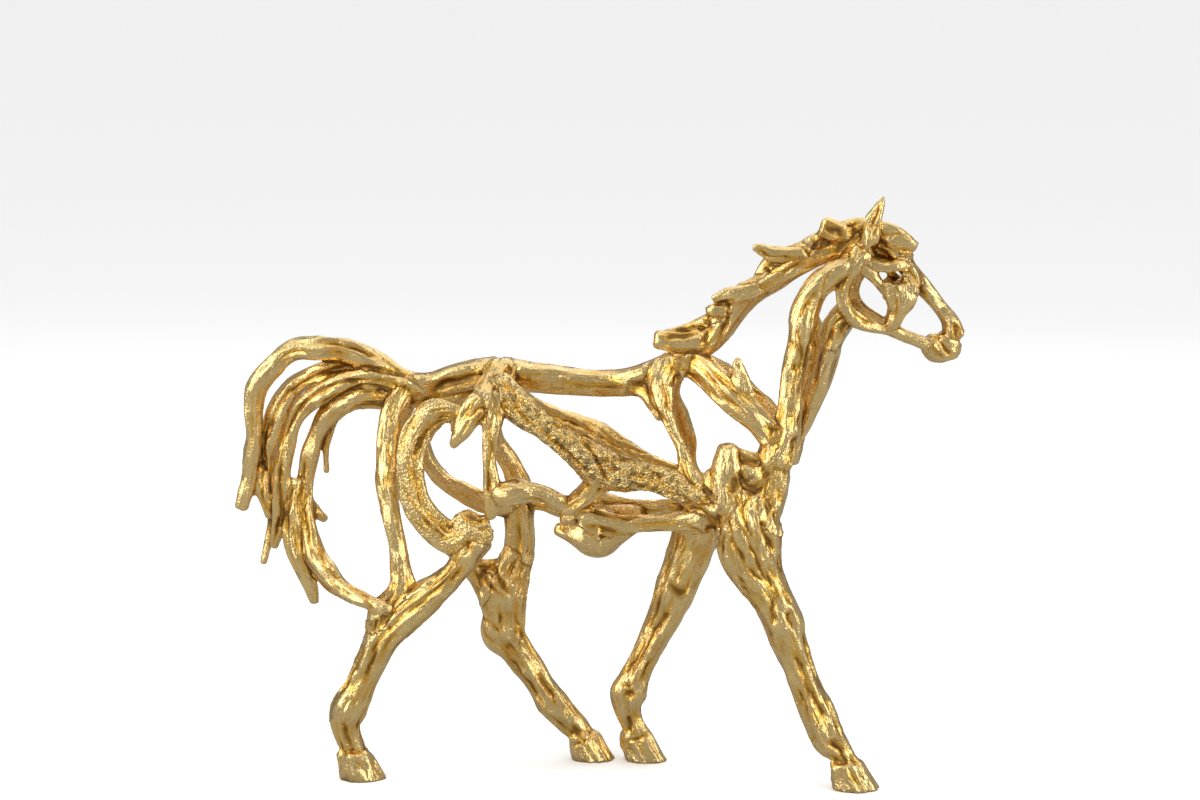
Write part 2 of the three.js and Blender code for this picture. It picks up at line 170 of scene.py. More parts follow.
# The hindquarter: three strands a side run from the croup down to the stifle and the gaskin.
def hindquarter():
    return [
        *strand([
            (402, 392, -6, 13), (392, 414, -18, 12.5), (387, 447, -28, 11.8), (387, 485, -36, 11.3),
            (390.5, 515, -42, 9.3), (397, 545, -46, 8.4), (400, 566, -48, 10.5), (402, 590, -49, 13.5),
            (388, 613, -49, 19), (382, 634, -48, 17),
        ], deep=0.8),
        *strand([
            (410, 392, 6, 12), (399, 415, 16, 11), (394, 446, 29, 9), (398, 472, 36, 8.5),
            (405, 495, 42, 9), (419, 518, 46, 9.5), (437.5, 538, 48, 9.5), (458, 553, 49, 10),
            (477, 574, 49, 11), (494, 600, 48, 14),
        ]),
        *strand([
            (458, 410, -40, 9), (434, 414, -36, 15), (417.5, 432, -38, 15.5), (410, 457, -42, 14),
            (411, 482, -46, 13.8), (417, 505, -49, 14.5), (430.5, 523.5, -51, 14.5),
            (452, 538, -52, 17), (473, 532, -52, 22.5), (486, 528, -52, 14),
        ], deep=0.6, fold=1.0, crumple=0.35),
        *strand([
            (462, 397, 40, 9), (438, 403, 36, 9), (422, 427, 38, 8), (426, 456.5, 42, 8.5),
            (444, 480.5, 46, 9), (468, 494.5, 49, 10.3), (491, 504, 50, 12.5), (513, 507, 51, 12),
        ]),
        *strand([
            (496, 396, -44, 13), (492.5, 420, -50, 11), (491, 440, -52, 9), (488.7, 457, -53, 7.5),
            (491, 477, -54, 8.7), (491.5, 498, -54, 9), (490, 518, -54, 5),
        ]),
        *strand([(478, 566, 50, 8), (491, 566, 51, 9), (505, 566, 52, 10)]),
        *strand([
            (500, 388, 42, 14), (493, 420, 48, 8.5), (497, 444, 52, 9), (512, 468, 54, 11.5),
            (519, 490, 54, 13.5), (519, 515, 53, 15.5), (520.5, 540, 52, 14.5), (519, 558, 51, 16),
        ]),
    ]


# The flank: two diagonal bands, two folds towards the stifle, and the sheath under the belly.
def flank():
    return [
        *strand([
            (499, 384, -36, 15), (515, 403, -46, 16.5), (540, 424, -52, 13), (560, 438, -54, 14),
            (582, 453, -55, 18), (602, 469, -54, 20), (625, 474, -52, 18), (652, 479, -51, 14.5),
            (680, 487, -50, 15), (706, 497, -48, 18),
        ], deep=0.6, fold=0.8, crumple=1.0),
        *strand([
            (502, 379, 28, 13), (524, 402, 46, 11), (550, 418.5, 52, 13), (577, 430, 54, 18),
            (605, 448.5, 54, 20.5), (634, 463, 52, 17.5), (660, 471, 51, 14), (686, 482, 50, 14),
            (710, 490, 48, 17),
        ], deep=0.6),
        *strand([
            (497, 494, -54, 12), (518, 492, -53, 13), (542, 493.5, -50, 9), (563, 504, -46, 10.5),
            (590, 510, -42, 11),
        ]),
        *strand([(520, 502, 54, 9), (543, 503, 50, 8), (563, 508, 46, 10), (590, 504, 42, 10)]),
        *strand([(568, 508, -46, 11), (588, 493, -50, 11), (599, 475, -53, 13)], deep=0.6),
        *strand([(572, 506, 46, 10), (590, 490, 50, 12), (606, 468, 53, 12)], deep=0.6),
        *pair([(584, 514, -42, 12), (622, 523.5, -42, 10.3), (672, 523, -44, 10), (704, 520, -46, 16)]),
        *pair([
            (557.5, 528.5, -30, 6.5), (568, 531, -32, 10), (580, 532, -32, 18), (599, 534, -26, 24),
            (614, 530, -30, 17), (634, 526, -36, 9),
        ], deep=1.1, fold=0.25),
        *strand([(570, 532, 0, 10), (598, 530, 0, 22), (622, 524, 0, 10)], deep=1.6, fold=0.25),
    ]


# The shoulder: strands from the withers, the blade's band, a knob at its point, and the chest.
def shoulder():
    return [
        *strand([(634, 386, -8, 9), (645, 393, -14, 9), (654, 404, -20, 8), (661, 418, -26, 6)]),
        *strand([
            (666, 366, -4, 15), (660, 390, -18, 13.5), (667, 414, -28, 8.3), (674, 432, -34, 6.2),
            (682, 450, -40, 6.2), (688, 472, -46, 10), (698, 494, -49, 14),
        ]),
        *strand([
            (670, 368, 6, 14), (671.5, 392, 18, 8.5), (680, 416, 30, 9.2), (686, 440, 38, 9.8),
            (687.5, 464, 44, 9.8), (700, 492, 48, 13),
        ]),
        *pair([
            (690, 363, -4, 14), (703.5, 372, -14, 15.5), (720, 385.5, -24, 16.5),
            (738.5, 401.5, -32, 16.8), (759, 420, -38, 13.7), (776, 441, -38, 14),
        ], deep=0.6),
        *strand([
            (744, 394, -31, 10), (741, 377, -30, 8.5), (738, 365, -29, 7), (737.5, 357.5, -29, 3.5),
        ]),
        *strand([
            (727, 447, -47, 10), (727, 464, -48, 15), (728, 484, -48, 20), (730, 504, -47, 26),
        ], fold=0.35),
        *strand([(713, 472, -46, 8), (713, 485, -48, 12), (718, 498, -48, 16)], fold=0.2),
        *strand([
            (730, 468, -42, 13), (746, 475, -42.5, 17), (761, 482, -40, 17), (774, 488, -35, 14),
        ], fold=0.3),
        *strand([(690, 496, -47, 13), (705, 502, -47, 17), (720, 510, -46, 20)], deep=0.7),
        *strand([(736, 486, -44, 18), (752, 482, -43, 18), (768, 470, -40, 15)], deep=0.7),
        *strand([(728, 462, 47, 9), (730, 478, 48, 16), (732, 498, 47, 24)]),
        *strand([(729, 454, -42, 9), (743, 460, -42, 10), (758, 466, -40, 12)]),
        *strand([(732, 472, 44, 8), (746, 476, 44, 8), (764, 478, 42, 10)]),
        *pair([
            (778.5, 434, -36, 15), (774, 458, -38, 17), (770, 482, -40, 18), (760, 508, -44, 22),
            (750, 530, -46, 24),
        ]),
        *strand([
            (843, 318, 0, 12.5), (832, 338, 0, 12.2), (826.5, 361, 0, 11), (819.5, 384, 0, 11),
            (810.5, 407, 0, 9.5), (800, 430, 0, 8.7), (784, 454, -2, 10), (774, 477, -4, 16.3),
            (768, 500, -6, 19), (756, 520, -6, 20),
        ], deep=1.3),
        *strand([
            (752, 508, -40, 20), (756, 500, -14, 20), (758, 496, 14, 20), (760, 494, 40, 20),
        ], deep=1),
    ]


def neck():
    return [
        *strand([
            (850, 268, -14, 11), (832, 275, -18, 12.5), (816, 289, -20, 13), (806, 310, -23, 13.5),
            (802, 335, -26, 13.5), (798, 358, -29, 13.5), (792, 384, -32, 12), (790, 410, -35, 12.5),
            (785, 438, -38, 14), (776, 462, -40, 16),
        ]),
        *strand([
            (852, 262, 14, 11), (834, 268, 18, 10), (818, 282, 20, 10), (809, 304, 23, 9.5),
            (811, 330, 26, 12), (815, 352, 29, 11), (811, 378, 32, 11), (804, 405, 35, 11),
            (795, 432, 38, 12), (785, 458, 40, 15),
        ]),
        *strand([
            (684, 355, 0, 13.5), (707, 344, 0, 13.3), (722, 326.5, 0, 14.3), (737, 308, 0, 13),
            (756, 290.3, 0, 12), (780, 275.5, 0, 12), (802, 262, 0, 11.3), (822, 253, 0, 10.8),
            (842, 246, 0, 12), (860, 241, 0, 14),
        ]),
    ]


# The mane's locks spring from the crest and point back towards the withers.
def mane():
    return [
        *strand([(700, 340, -6, 11), (684, 343, -7, 11), (670, 340.5, -8, 10.3), (657, 339, -8, 9.7)]),
        *strand([(722, 318, 0, 12), (704, 322, 3, 7), (684, 329, 4, 5), (663, 335, 2, 5)]),
        *strand([(727, 312, -4, 9), (715, 310, -4, 8), (707, 309.5, -4, 4)]),
        *strand([
            (757, 291, -5, 10), (740, 294, -7, 9), (726, 295, -8, 6.5), (713, 298.5, -8, 3.5),
        ], deep=0.6),
        *strand([
            (774, 277, 1, 10), (758, 281, -1, 8), (747, 283, -3, 5), (738, 285, -3, 2.5),
        ], deep=0.6),
        *strand([
            (757, 288, 2, 8), (763.5, 273, 3, 8.3), (775, 261.5, 3, 9.3), (800, 252, 2, 9),
            (824, 243, 0, 9),
        ]),
        *strand([
            (812, 252, -5, 7), (790, 254, -7, 6.5), (772, 254, -8, 8), (754, 247.5, -8, 4.5),
        ], deep=0.6),
        *strand([(812, 248, -2, 7), (800, 247, -2, 5), (787, 248, -2, 2)], deep=0.6),
        *strand([(838, 240, 2, 10), (820, 240, 1, 9), (804, 248, 0, 7)]),
        *strand([(824, 228, -7, 11), (836, 232.5, -8, 11), (846, 233, -6, 9)]),
        *strand([(845, 229, -2, 8), (858, 224, -2, 6.5), (870, 226, -2, 7)]),
    ]


# The head: the two sides meet at the poll, along the nose and at the muzzle.
def head():
    return [
        *strand([(844, 266, 0, 12), (858, 252, 0, 15), (868, 240, 0, 12)], deep=1.3),
        *pair([
            (868, 252, -12, 9), (870, 236, -15, 9.5), (874, 222, -16, 8), (880, 209, -15, 5),
            (884.3, 198, -14, 2),
        ]),
        *strand([
            (868, 231, -2, 8), (882, 230, -5, 9.5), (897, 237, -6, 11), (909, 243, -6, 9.3),
            (916, 246, -6, 6),
        ], deep=0.6),
        *strand([(872, 257, 0, 7), (888, 262, 0, 7), (902, 263, 0, 7)]),
        *strand([
            (866, 243, 0, 10), (880, 249.5, 0, 9.5), (894, 253, 0, 9.5), (907, 260, 0, 10.5),
        ], deep=1.3),
        *strand([
            (896, 252, 0, 9), (907, 267, 0, 10), (922, 284.5, 0, 8.5), (937.5, 303.5, 0, 7.2),
            (949.3, 319.5, 0, 9), (955, 335, 0, 11),
        ], deep=1.15),
        *strand([(930, 340, 0, 11), (936, 348, 0, 15.5), (946, 347, 0, 15.5), (955.5, 347, 0, 12)]),
        *strand([
            (934, 347, -6, 7), (918, 341, -9, 6), (902, 335, -11, 6), (886, 329, -13, 6),
            (868, 325, -15, 7), (852, 315, -16, 9), (844, 300, -17, 7.5), (845, 284, -17, 8.5),
            (853, 270, -17, 9), (863, 256, -15, 10),
        ]),
        *strand([
            (934, 345, 6, 7), (918, 339, 9, 5), (902, 333, 11, 5), (888, 325, 13, 5),
            (873, 316, 15, 5.5), (860, 307, 17, 6.5), (853, 294, 18, 7), (855, 281, 18, 7),
            (861, 268, 17, 8), (867, 254, 15, 10),
        ]),
        *strand([
            (861, 264, -16, 8), (873, 277, -18, 6), (884, 290, -18, 5.5), (894, 303, -17, 6),
            (896, 316, -15, 5.5), (889, 328, -13, 6),
        ]),
        *strand([
            (866, 259, 16, 8), (882, 268, 18, 4), (895, 275, 18, 3.5), (905, 288, 18, 5.5),
            (904, 303, 15, 6), (893, 324, 13, 5),
        ]),
        *pair([
            (864, 262, -16, 7), (877, 267, -18, 5), (890, 268, -18, 5.5), (902, 265, -14, 6),
            (911, 272, -7, 8),
        ]),
        *strand([
            (882, 287, -18, 6), (894, 294.5, -18, 6.5), (905, 291, -15, 9), (911, 279, -8, 9),
        ], deep=0.7),
        *strand([(885, 294, 18, 5), (897, 300, 18, 6), (907, 297, 15, 9), (912, 284, 8, 9)], deep=0.7),
        *pair([
            (904, 286, -13, 12), (904, 299, -14, 13), (898, 311, -14, 10), (893, 323, -13, 8),
        ], deep=0.9, fold=0.5),
        *pair([(885, 284, -18, 5.5), (891, 294, -18, 8), (896, 306, -16, 8)], deep=0.8),
        *pair([(908, 268, -8, 9), (913, 281, -11, 9), (911, 292, -13, 9)], deep=0.9),
        *strand([(845, 313, -12, 9), (835, 322, -8, 11), (830, 338, -4, 12)]),
        *strand([(846, 308, 12, 9), (836, 318, 8, 10), (832, 336, 3, 11)]),
    ]


def tail():
    return [
        *strand([
            (424, 385, 0, 11), (400, 380, 0, 12), (375, 365, -1, 14), (345, 351, -3, 13),
            (318, 349, -4, 13), (294, 350, -5, 11.5), (272.5, 366, -8, 10.8), (257, 386, -10, 10.7),
            (253, 408, -10, 10), (253.5, 425, -10, 9.5), (252.8, 442, -10, 8.5), (248, 482, -8, 9),
            (242, 508, -8, 8),
        ]),
        *strand([
            (420, 390, 3, 10), (390, 374, 4, 11), (352, 366, 5, 9), (320, 373, 6, 11),
            (296, 385, 7, 11), (281.5, 406, 7, 12.5), (273.5, 432, 6, 13), (267.5, 460, 5, 10),
            (266, 490, 5, 9), (273, 516, 4, 6.8), (268, 543, 3, 4.6), (263.5, 563, 2, 3.5),
        ]),
        *strand([
            (420, 392, -4, 10), (388, 381, -7, 10), (350, 379, -9, 10), (324, 391, -10, 11),
            (306, 404, -10, 11), (295, 421, -10, 8.5), (289, 442, -9, 8.5), (283.5, 466, -9, 9.5),
            (280, 492, -8, 9), (279, 520, -6, 8), (274, 547, -4, 4),
        ]),
        *strand([
            (418, 394, 0, 11), (390, 395, 0, 13), (358, 396, 1, 13.5), (334, 408, 2, 12.5),
            (318, 430, 2, 9.7), (310, 455, 1, 9.2), (306, 480, 0, 9), (305, 505, -3, 10.3),
            (308.5, 530, -8, 9.2), (315.5, 557, -16, 11.6), (325, 570.5, -24, 11),
            (339.5, 586, -34, 8.6), (367, 601.5, -54, 8), (389, 609, -61, 7),
        ], deep=0.9),
        *strand([(348, 401, 8, 9), (333, 417, 8, 6.5), (326.5, 442, 8, 4.5), (326.5, 472, 8, 3)]),
        *strand([
            (297, 480, -8, 5), (293.5, 494, -6, 9), (293, 515, -6, 12), (297, 543, -8, 12),
            (304, 568, -11, 10), (312, 589, -12, 7.5), (314.5, 602.5, -12, 4.7),
        ]),
        *strand([(308, 504, 4, 8), (318, 514, 5, 6.5), (326, 519, 6, 4)]),
        *strand([(318, 571, -14, 8), (334, 588, -28, 6.5), (356, 601, -46, 4.5), (372, 608, -54, 3)]),
        *strand([(262, 470, -3, 7), (262, 490, -3, 8), (270, 515, -2, 6)]),
    ]


def legs():
    return [
        *strand([
            (742, 500, -46, 26), (748, 528, -47, 33), (750.5, 554, -FOOT, 31.5),
            (760.5, 579, -FOOT, 24.3), (774, 602, -FOOT, 20.3), (783, 622, -FOOT, 21.5),
            (788.7, 642, -FOOT, 18.8), (798.7, 667, -FOOT, 16.2), (807.7, 690, -FOOT, 15.8),
            (818.7, 715, -FOOT, 17.6), (828, 738, -FOOT, 16.6), (840.5, 752, -FOOT, 11.7),
            (850, 768, -FOOT, 12),
        ]),
        *strand([
            (704, 498, 46, 24), (698.3, 528, FOOT, 25.5), (690, 552, FOOT, 23), (682, 572, FOOT, 21.3),
            (672, 598, FOOT, 19.5), (664, 618, FOOT, 16.8), (652.5, 640, FOOT, 15),
            (637.5, 672, FOOT, 14.7), (628.7, 695, FOOT, 18.5), (628, 710, FOOT, 14.5),
            (632.7, 723, FOOT, 12.5), (642, 742, FOOT, 13.5),
        ]),
        *strand([
            (472.5, 540, -52, 20), (463, 561.5, -52, 14), (447.5, 581, -50, 14),
            (424, 598.5, -50, 17.9), (401.7, 615.3, -50, 19.3), (382.8, 637, -FOOT, 18.3),
            (371, 663, -FOOT, 15.8), (359.3, 688, -FOOT, 15.1), (347.5, 711, -FOOT, 18.6),
            (346.3, 726, -FOOT, 14.2), (350, 740, -FOOT, 12.5), (357, 758, -FOOT, 12),
        ]),
        *strand([
            (520, 550, 52, 15.5), (510, 574, 50, 21), (503.5, 591, FOOT, 25.5), (504, 614, FOOT, 21.7),
            (504.5, 632, FOOT, 23.2), (516, 648.5, FOOT, 17.2), (528, 666, FOOT, 15.2),
            (540.5, 686, FOOT, 15), (552.3, 703.5, FOOT, 17.2), (565.7, 717.5, FOOT, 14.8),
            (580, 730.5, FOOT, 12.2), (588.5, 745, FOOT, 11.7),
        ]),
    ]


# Grooves and dents pressed in by hand, as lines on the drawing with a half width in squares and a depth
# in mm. Each one is on the side that faces the eye, and again on the other side.
def grooves():
    return [
        # The tail's locks
        ([(415, 378), (391, 372), (367, 367), (345, 368), (326, 372), (309, 380), (291, 391), (278, 408),
          (269, 426), (265, 433)], 2.2, 1.8),
        ([(396, 384), (370, 379), (348, 381), (330, 386), (313, 395), (302, 404), (293, 419), (285, 434),
          (280, 448), (275, 463)], 2.2, 1.8),
        ([(389, 391), (367, 386), (345, 391), (326, 400), (319, 408)], 2.2, 1.6),
        ([(283, 448), (280, 470), (281, 493), (282, 515), (277, 533), (272, 545)], 2.0, 1.7),
        ([(293, 485), (291, 496), (286, 515), (288, 530)], 3.0, 2.2),
        ([(308, 459), (304, 474), (309, 493), (304, 508), (308, 526), (311, 545), (315, 563)], 1.8, 1.5),
        ([(319, 552), (326, 567), (341, 578), (363, 593), (378, 600)], 2.0, 1.4),
        ([(390, 362), (366, 352), (344, 346), (318, 342)], 2.0, 1.2),
        ([(268, 420), (262, 442), (266, 466), (262, 490), (267, 512)], 2.0, 1.4),
        # The croup's scoop and the plate below it
        ([(430, 391), (448, 384), (466, 379), (481, 376)], 5.0, 2.4),
        ([(467, 419), (478, 410), (489, 408)], 2.4, 1.2),
        ([(503, 398), (498, 410), (500, 420)], 2.0, 1.0),
        # The thigh, the stifle and the strand before it
        ([(404, 487), (415, 507), (430, 526), (444, 537)], 2.0, 1.1),
        ([(420, 440), (413, 458), (414, 478)], 2.0, 0.9),
        ([(392, 420), (388, 450), (390, 480), (395, 515), (402, 548)], 2.0, 1.0),
        ([(467, 544), (468, 546)], 4.5, 1.0),
        ([(470, 516), (473, 518)], 5.0, 1.2),
        ([(489, 426), (493, 450), (489, 470), (491, 507)], 1.8, 1.0),
        # The near diagonal's creases
        ([(536, 429), (556, 443), (580, 464), (591, 474)], 2.0, 1.3),
        ([(549, 424), (572, 427), (587, 436), (598, 450)], 2.0, 1.3),
        ([(580, 436), (591, 452), (601, 469), (608, 481)], 2.4, 1.5),
        ([(598, 460), (615, 460), (632, 457)], 3.0, 1.3),
        ([(508, 396), (520, 412), (531, 426)], 2.2, 1.0),
        ([(655, 471), (658, 478), (663, 476)], 1.8, 1.1),
        # The sheath's curl and the fold above it
        ([(556, 528), (563, 529), (562, 523)], 2.0, 1.3),
        ([(587, 507), (603, 514), (628, 518), (649, 513)], 2.2, 1.6),
        # The shoulder's strands and the blade
        ([(646, 388), (655, 405), (667, 426), (675, 447), (682, 469), (698, 491)], 1.7, 1.1),
        ([(661, 380), (667, 397), (668, 412)], 1.8, 1.1),
        ([(695, 358), (711, 380), (729, 400), (753, 417)], 2.2, 1.0),
        ([(709, 366), (726, 384), (744, 400)], 1.8, 0.8),
        # The knob at the shoulder's point
        ([(735, 476), (734, 487), (730, 494)], 3.2, 2.0),
        ([(741, 474), (742, 480)], 3.0, 1.6),
        ([(703, 483), (707, 497), (714, 506)], 2.2, 1.6),
        ([(766, 424), (772, 432), (769, 442)], 3.0, 1.2),
        ([(779, 492), (780, 497)], 3.5, 1.2),
        # The fore leg's muscles
        ([(751, 494), (746, 507)], 2.0, 1.2),
        ([(744, 518), (748, 531), (753, 536)], 1.9, 1.5),
        ([(759, 519), (762, 529), (770, 544), (773, 549)], 2.2, 1.7),
        ([(724, 533), (722, 544), (724, 552)], 2.2, 1.6),
        ([(732, 540), (741, 554), (747, 567), (755, 575), (766, 583)], 2.0, 1.5),
        ([(738, 523), (747, 537), (751, 548), (757, 559), (763, 574), (767, 582)], 1.9, 1.5),
        ([(683, 520), (703, 537), (713, 549)], 2.0, 1.1),
        ([(774, 599), (772, 611), (774, 626)], 2.2, 1.3),
        ([(784, 591), (791, 603)], 2.0, 1.1),
        ([(789, 614), (791, 628)], 1.8, 1.1),
        ([(793, 651), (803, 670), (808, 687), (818, 706), (825, 721)], 3.0, 1.3),
        ([(799, 687), (805, 706), (810, 723)], 1.7, 1.2),
        ([(812, 739), (813, 740)], 2.4, 1.2),
        ([(833, 743), (843, 750)], 3.0, 1.2),
        ([(832, 764), (847, 763), (862, 755)], 1.8, 1.0),
        # The hind leg's plane, hock and pastern
        ([(364, 642), (361, 656), (349, 682), (334, 706)], 1.9, 1.5),
        ([(377, 644), (372, 663), (364, 684), (351, 709)], 2.4, 0.8),
        ([(368, 600), (371, 608)], 1.6, 1.0),
        ([(389, 626), (391, 627)], 2.6, 1.0),
        ([(396, 636), (398, 637)], 2.6, 1.0),
        ([(343, 722), (345, 723)], 2.6, 1.1),
        ([(341, 753), (358, 751), (366, 748)], 1.8, 1.0),
        ([(358, 765), (359, 767)], 2.6, 1.0),
        # The neck and the throat
        ([(816, 330), (810, 348), (806, 374), (804, 400), (801, 430), (794, 447), (790, 460)], 2.4, 2.2),
        ([(834, 326), (824, 346), (817, 368), (811, 392)], 3.0, 1.5),
        ([(798, 316), (810, 301), (816, 289)], 2.2, 1.2),
        ([(832, 269), (824, 283), (820, 300)], 2.0, 1.1),
        ([(798, 328), (802, 354), (797, 384)], 2.2, 1.2),
        ([(790, 343), (791, 347)], 4.0, 1.4),
        ([(794, 366), (795, 371)], 3.8, 1.2),
        # The mane's locks and the crest
        ([(829, 229), (838, 232)], 5.5, 2.8),
        ([(846, 230), (850, 224), (860, 222)], 1.6, 1.2),
        ([(759, 250), (771, 257), (798, 259)], 1.9, 1.4),
        ([(802, 249), (810, 255), (816, 242)], 2.0, 1.6),
        ([(763, 265), (771, 273), (786, 269), (804, 263)], 2.0, 1.3),
        ([(709, 301), (719, 303), (739, 299)], 1.8, 1.2),
        ([(729, 305), (727, 324), (719, 340)], 2.0, 1.4),
        ([(707, 316), (709, 332), (700, 346)], 2.0, 1.2),
        ([(664, 336), (680, 334), (698, 329)], 4.0, 1.8),
        # The face: ear, hollow below the forelock, cheek, nostril and mouth
        ([(869, 229), (874, 219), (881, 203)], 2.4, 1.8),
        ([(877, 226), (873, 238)], 2.0, 1.2),
        ([(879, 235), (897, 235), (913, 239)], 1.6, 0.8),
        ([(873, 250), (884, 257)], 5.0, 3.6),
        ([(848, 301), (856, 316), (873, 322)], 1.9, 1.1),
        ([(896, 296), (897, 308), (894, 318)], 1.5, 0.7),
        ([(906, 268), (917, 283), (928, 299)], 1.8, 0.8),
        ([(957, 328), (957, 334)], 3.6, 2.6),
        ([(940, 341), (945, 348), (951, 357)], 1.8, 1.8),
        ([(932, 347), (938, 353), (945, 358)], 1.6, 1.3),
    ]


# The same on the inner sides of the far legs and of the far diagonal
def inner_grooves():
    return [
        # The far hind leg
        ([(473, 569), (492, 589), (504, 598)], 2.2, 1.5),
        ([(492, 564), (504, 587), (511, 594)], 2.4, 1.5),
        ([(484, 617), (492, 623), (500, 636)], 2.0, 1.4),
        ([(483, 623), (486, 636), (496, 644)], 1.8, 1.2),
        ([(515, 614), (523, 636), (519, 652)], 2.0, 1.2),
        ([(504, 652), (527, 682), (548, 711)], 2.0, 1.4),
        ([(536, 675), (550, 690), (557, 705)], 2.4, 1.3),
        ([(574, 728), (582, 738)], 3.0, 1.1),
        ([(574, 747), (588, 739), (597, 733)], 1.8, 1.0),
        # The far fore leg
        ([(671, 584), (680, 593)], 3.0, 1.4),
        ([(661, 591), (655, 614), (648, 630)], 1.8, 1.3),
        ([(665, 614), (652, 639), (636, 664), (629, 677)], 1.7, 1.3),
        ([(644, 643), (631, 664), (621, 676)], 1.6, 1.1),
        ([(625, 684), (626, 685)], 2.4, 1.4),
        ([(630, 693), (632, 694)], 3.4, 1.4),
        ([(629, 718), (631, 729)], 2.0, 1.2),
        ([(625, 741), (638, 739), (650, 731)], 1.8, 1.1),
        # The far diagonal
        ([(560, 424), (590, 440), (622, 462), (650, 474)], 2.2, 1.3),
        ([(540, 414), (575, 424), (606, 440), (640, 462)], 1.8, 0.9),
    ]


# How far past the middle plane a groove still takes hold, and how far out the inner ones start
GROOVE_PAST = 4 * MM
INNER_START = 12 * MM


def spline(spots, at):
    """Points of a centripetal Catmull-Rom curve through spots, at places counted in spots."""
    first = 2 * spots[0] - spots[1]
    last = 2 * spots[-1] - spots[-2]
    knots = np.vstack([first, spots, last])
    result = np.empty((len(at), spots.shape[1]))
    for row, value in enumerate(at):
        leg = min(int(value), len(spots) - 2)
        share = value - leg
        four = knots[leg:leg + 4]
        steps = np.sqrt(np.maximum(np.linalg.norm(np.diff(four[:, :3], axis=0), axis=1), 1e-6))
        t = np.concatenate([[0.0], np.cumsum(steps)])
        now = t[1] + share * (t[2] - t[1])
        a = [mix(four[i], four[i + 1], t[i], t[i + 1], now) for i in range(3)]
        b = [mix(a[i], a[i + 1], t[i], t[i + 2], now) for i in range(2)]
        result[row] = mix(b[0], b[1], t[1], t[2], now)
    return result


def mix(start, end, low, high, value):
    share = (value - low) / (high - low)
    return start * (1 - share) + end * share


def unit(vectors):
    return vectors / np.maximum(np.linalg.norm(vectors, axis=-1, keepdims=True), 1e-12)


class Noise:
    """Smooth seeded noise in space, from -1 to 1."""

    SIZE = 256

    def __init__(self, seed):
        draw = np.random.default_rng(seed)
        self.values = draw.uniform(-1, 1, self.SIZE)
        self.order = draw.permutation(self.SIZE)

    def __call__(self, points):
        cell = np.floor(points).astype(np.int64)
        part = points - cell
        ease = part * part * part * (part * (part * 6 - 15) + 10)
        total = np.zeros(len(points))
        for dx in (0, 1):
            for dy in (0, 1):
                for dz in (0, 1):
                    index = self.order[(cell[:, 0] + dx) % self.SIZE]
                    index = self.order[(index + cell[:, 1] + dy) % self.SIZE]
                    index = self.order[(index + cell[:, 2] + dz) % self.SIZE]
                    weight = np.abs(1 - dx - ease[:, 0]) * np.abs(1 - dy - ease[:, 1])
                    weight = weight * np.abs(1 - dz - ease[:, 2])
                    total += weight * self.values[index]
        return total


LUMPS = Noise(3)
FOLDS = Noise(11)
CRUSH = Noise(23)


# Points of the curve between two rows, and the fewest rings of a strand
CURVE_FINENESS = 12
FEWEST_RINGS = 4


def sampled(form, step):
    """The strand's centres, half widths and frames, evenly along its length."""
    spots = form["spots"]
    rough = spline(spots, np.linspace(0, len(spots) - 1, CURVE_FINENESS * len(spots)))
    walked = np.concatenate([[0.0], np.cumsum(np.linalg.norm(np.diff(rough[:, :3], axis=0), axis=1))])
    count = max(FEWEST_RINGS, int(round(walked[-1] / step)) + 1)
    along = np.linspace(0, walked[-1], count)
    points = np.stack([np.interp(along, walked, rough[:, axis]) for axis in range(4)], axis=1)
    tangent = unit(np.gradient(points[:, :3], axis=0))
    wide = unit(np.cross(tangent, [0.0, 1.0, 0.0]))
    thick = unit(np.cross(wide, tangent))
    return {"centre": points[:, :3], "half": points[:, 3], "along": along,
            "tangent": tangent, "wide": wide, "thick": thick}


# How far a strand's rounded end stands out, as a share of its last half width
END_ROUND = 0.45
END_RINGS = 3


def tube(form):
    """A closed tube around the strand: its corners and its faces."""
    path = sampled(form, RING_STEP)
    turn = np.arange(RING_SIDES) * 2 * math.pi / RING_SIDES
    boxy = form["boxy"]
    squareness = (np.abs(np.cos(turn)) ** boxy + np.abs(np.sin(turn)) ** boxy) ** (-1 / boxy)
    rings = []
    for step in range(-END_RINGS, len(path["half"]) + END_RINGS):
        row = min(max(step, 0), len(path["half"]) - 1)
        beyond = step - row
        lean = abs(beyond) / (END_RINGS + 1) * math.pi / 2
        half = path["half"][row] * math.cos(lean) * squareness
        out = math.copysign(math.sin(lean), beyond) * END_ROUND * path["half"][row]
        centre = path["centre"][row] + path["tangent"][row] * out
        ring = centre + half[:, None] * (
            np.cos(turn)[:, None] * path["wide"][row]
            + np.sin(turn)[:, None] * path["thick"][row] * form["deep"])
        rings.append(ring)
    corners = np.vstack(rings)
    tips = [path["centre"][0] - path["tangent"][0] * END_ROUND * path["half"][0],
            path["centre"][-1] + path["tangent"][-1] * END_ROUND * path["half"][-1]]
    corners = np.vstack([corners, tips])
    faces = []
    for ring in range(len(rings) - 1):
        for side in range(RING_SIDES):
            after = (side + 1) % RING_SIDES
            low = ring * RING_SIDES
            high = low + RING_SIDES
            faces.append((low + side, low + after, high + after, high + side))
    first_tip = len(corners) - 2
    last = (len(rings) - 1) * RING_SIDES
    for side in range(RING_SIDES):
        after = (side + 1) % RING_SIDES
        faces.append((first_tip, after, side))
        faces.append((first_tip + 1, last + side, last + after))
    return corners, faces


# Heights of a hoof, in mm, with its girth there as a share of its sole
HOOF_RINGS = [
    (-3, 1.06), (0, 1.06), (1, 1.06), (5, 1.0), (10, 0.93), (14, 0.87), (17, 0.84), (19, 0.75), (21, 0.5),
]
HOOF_SPREAD = 1.06
HOOF_SIDES = 36


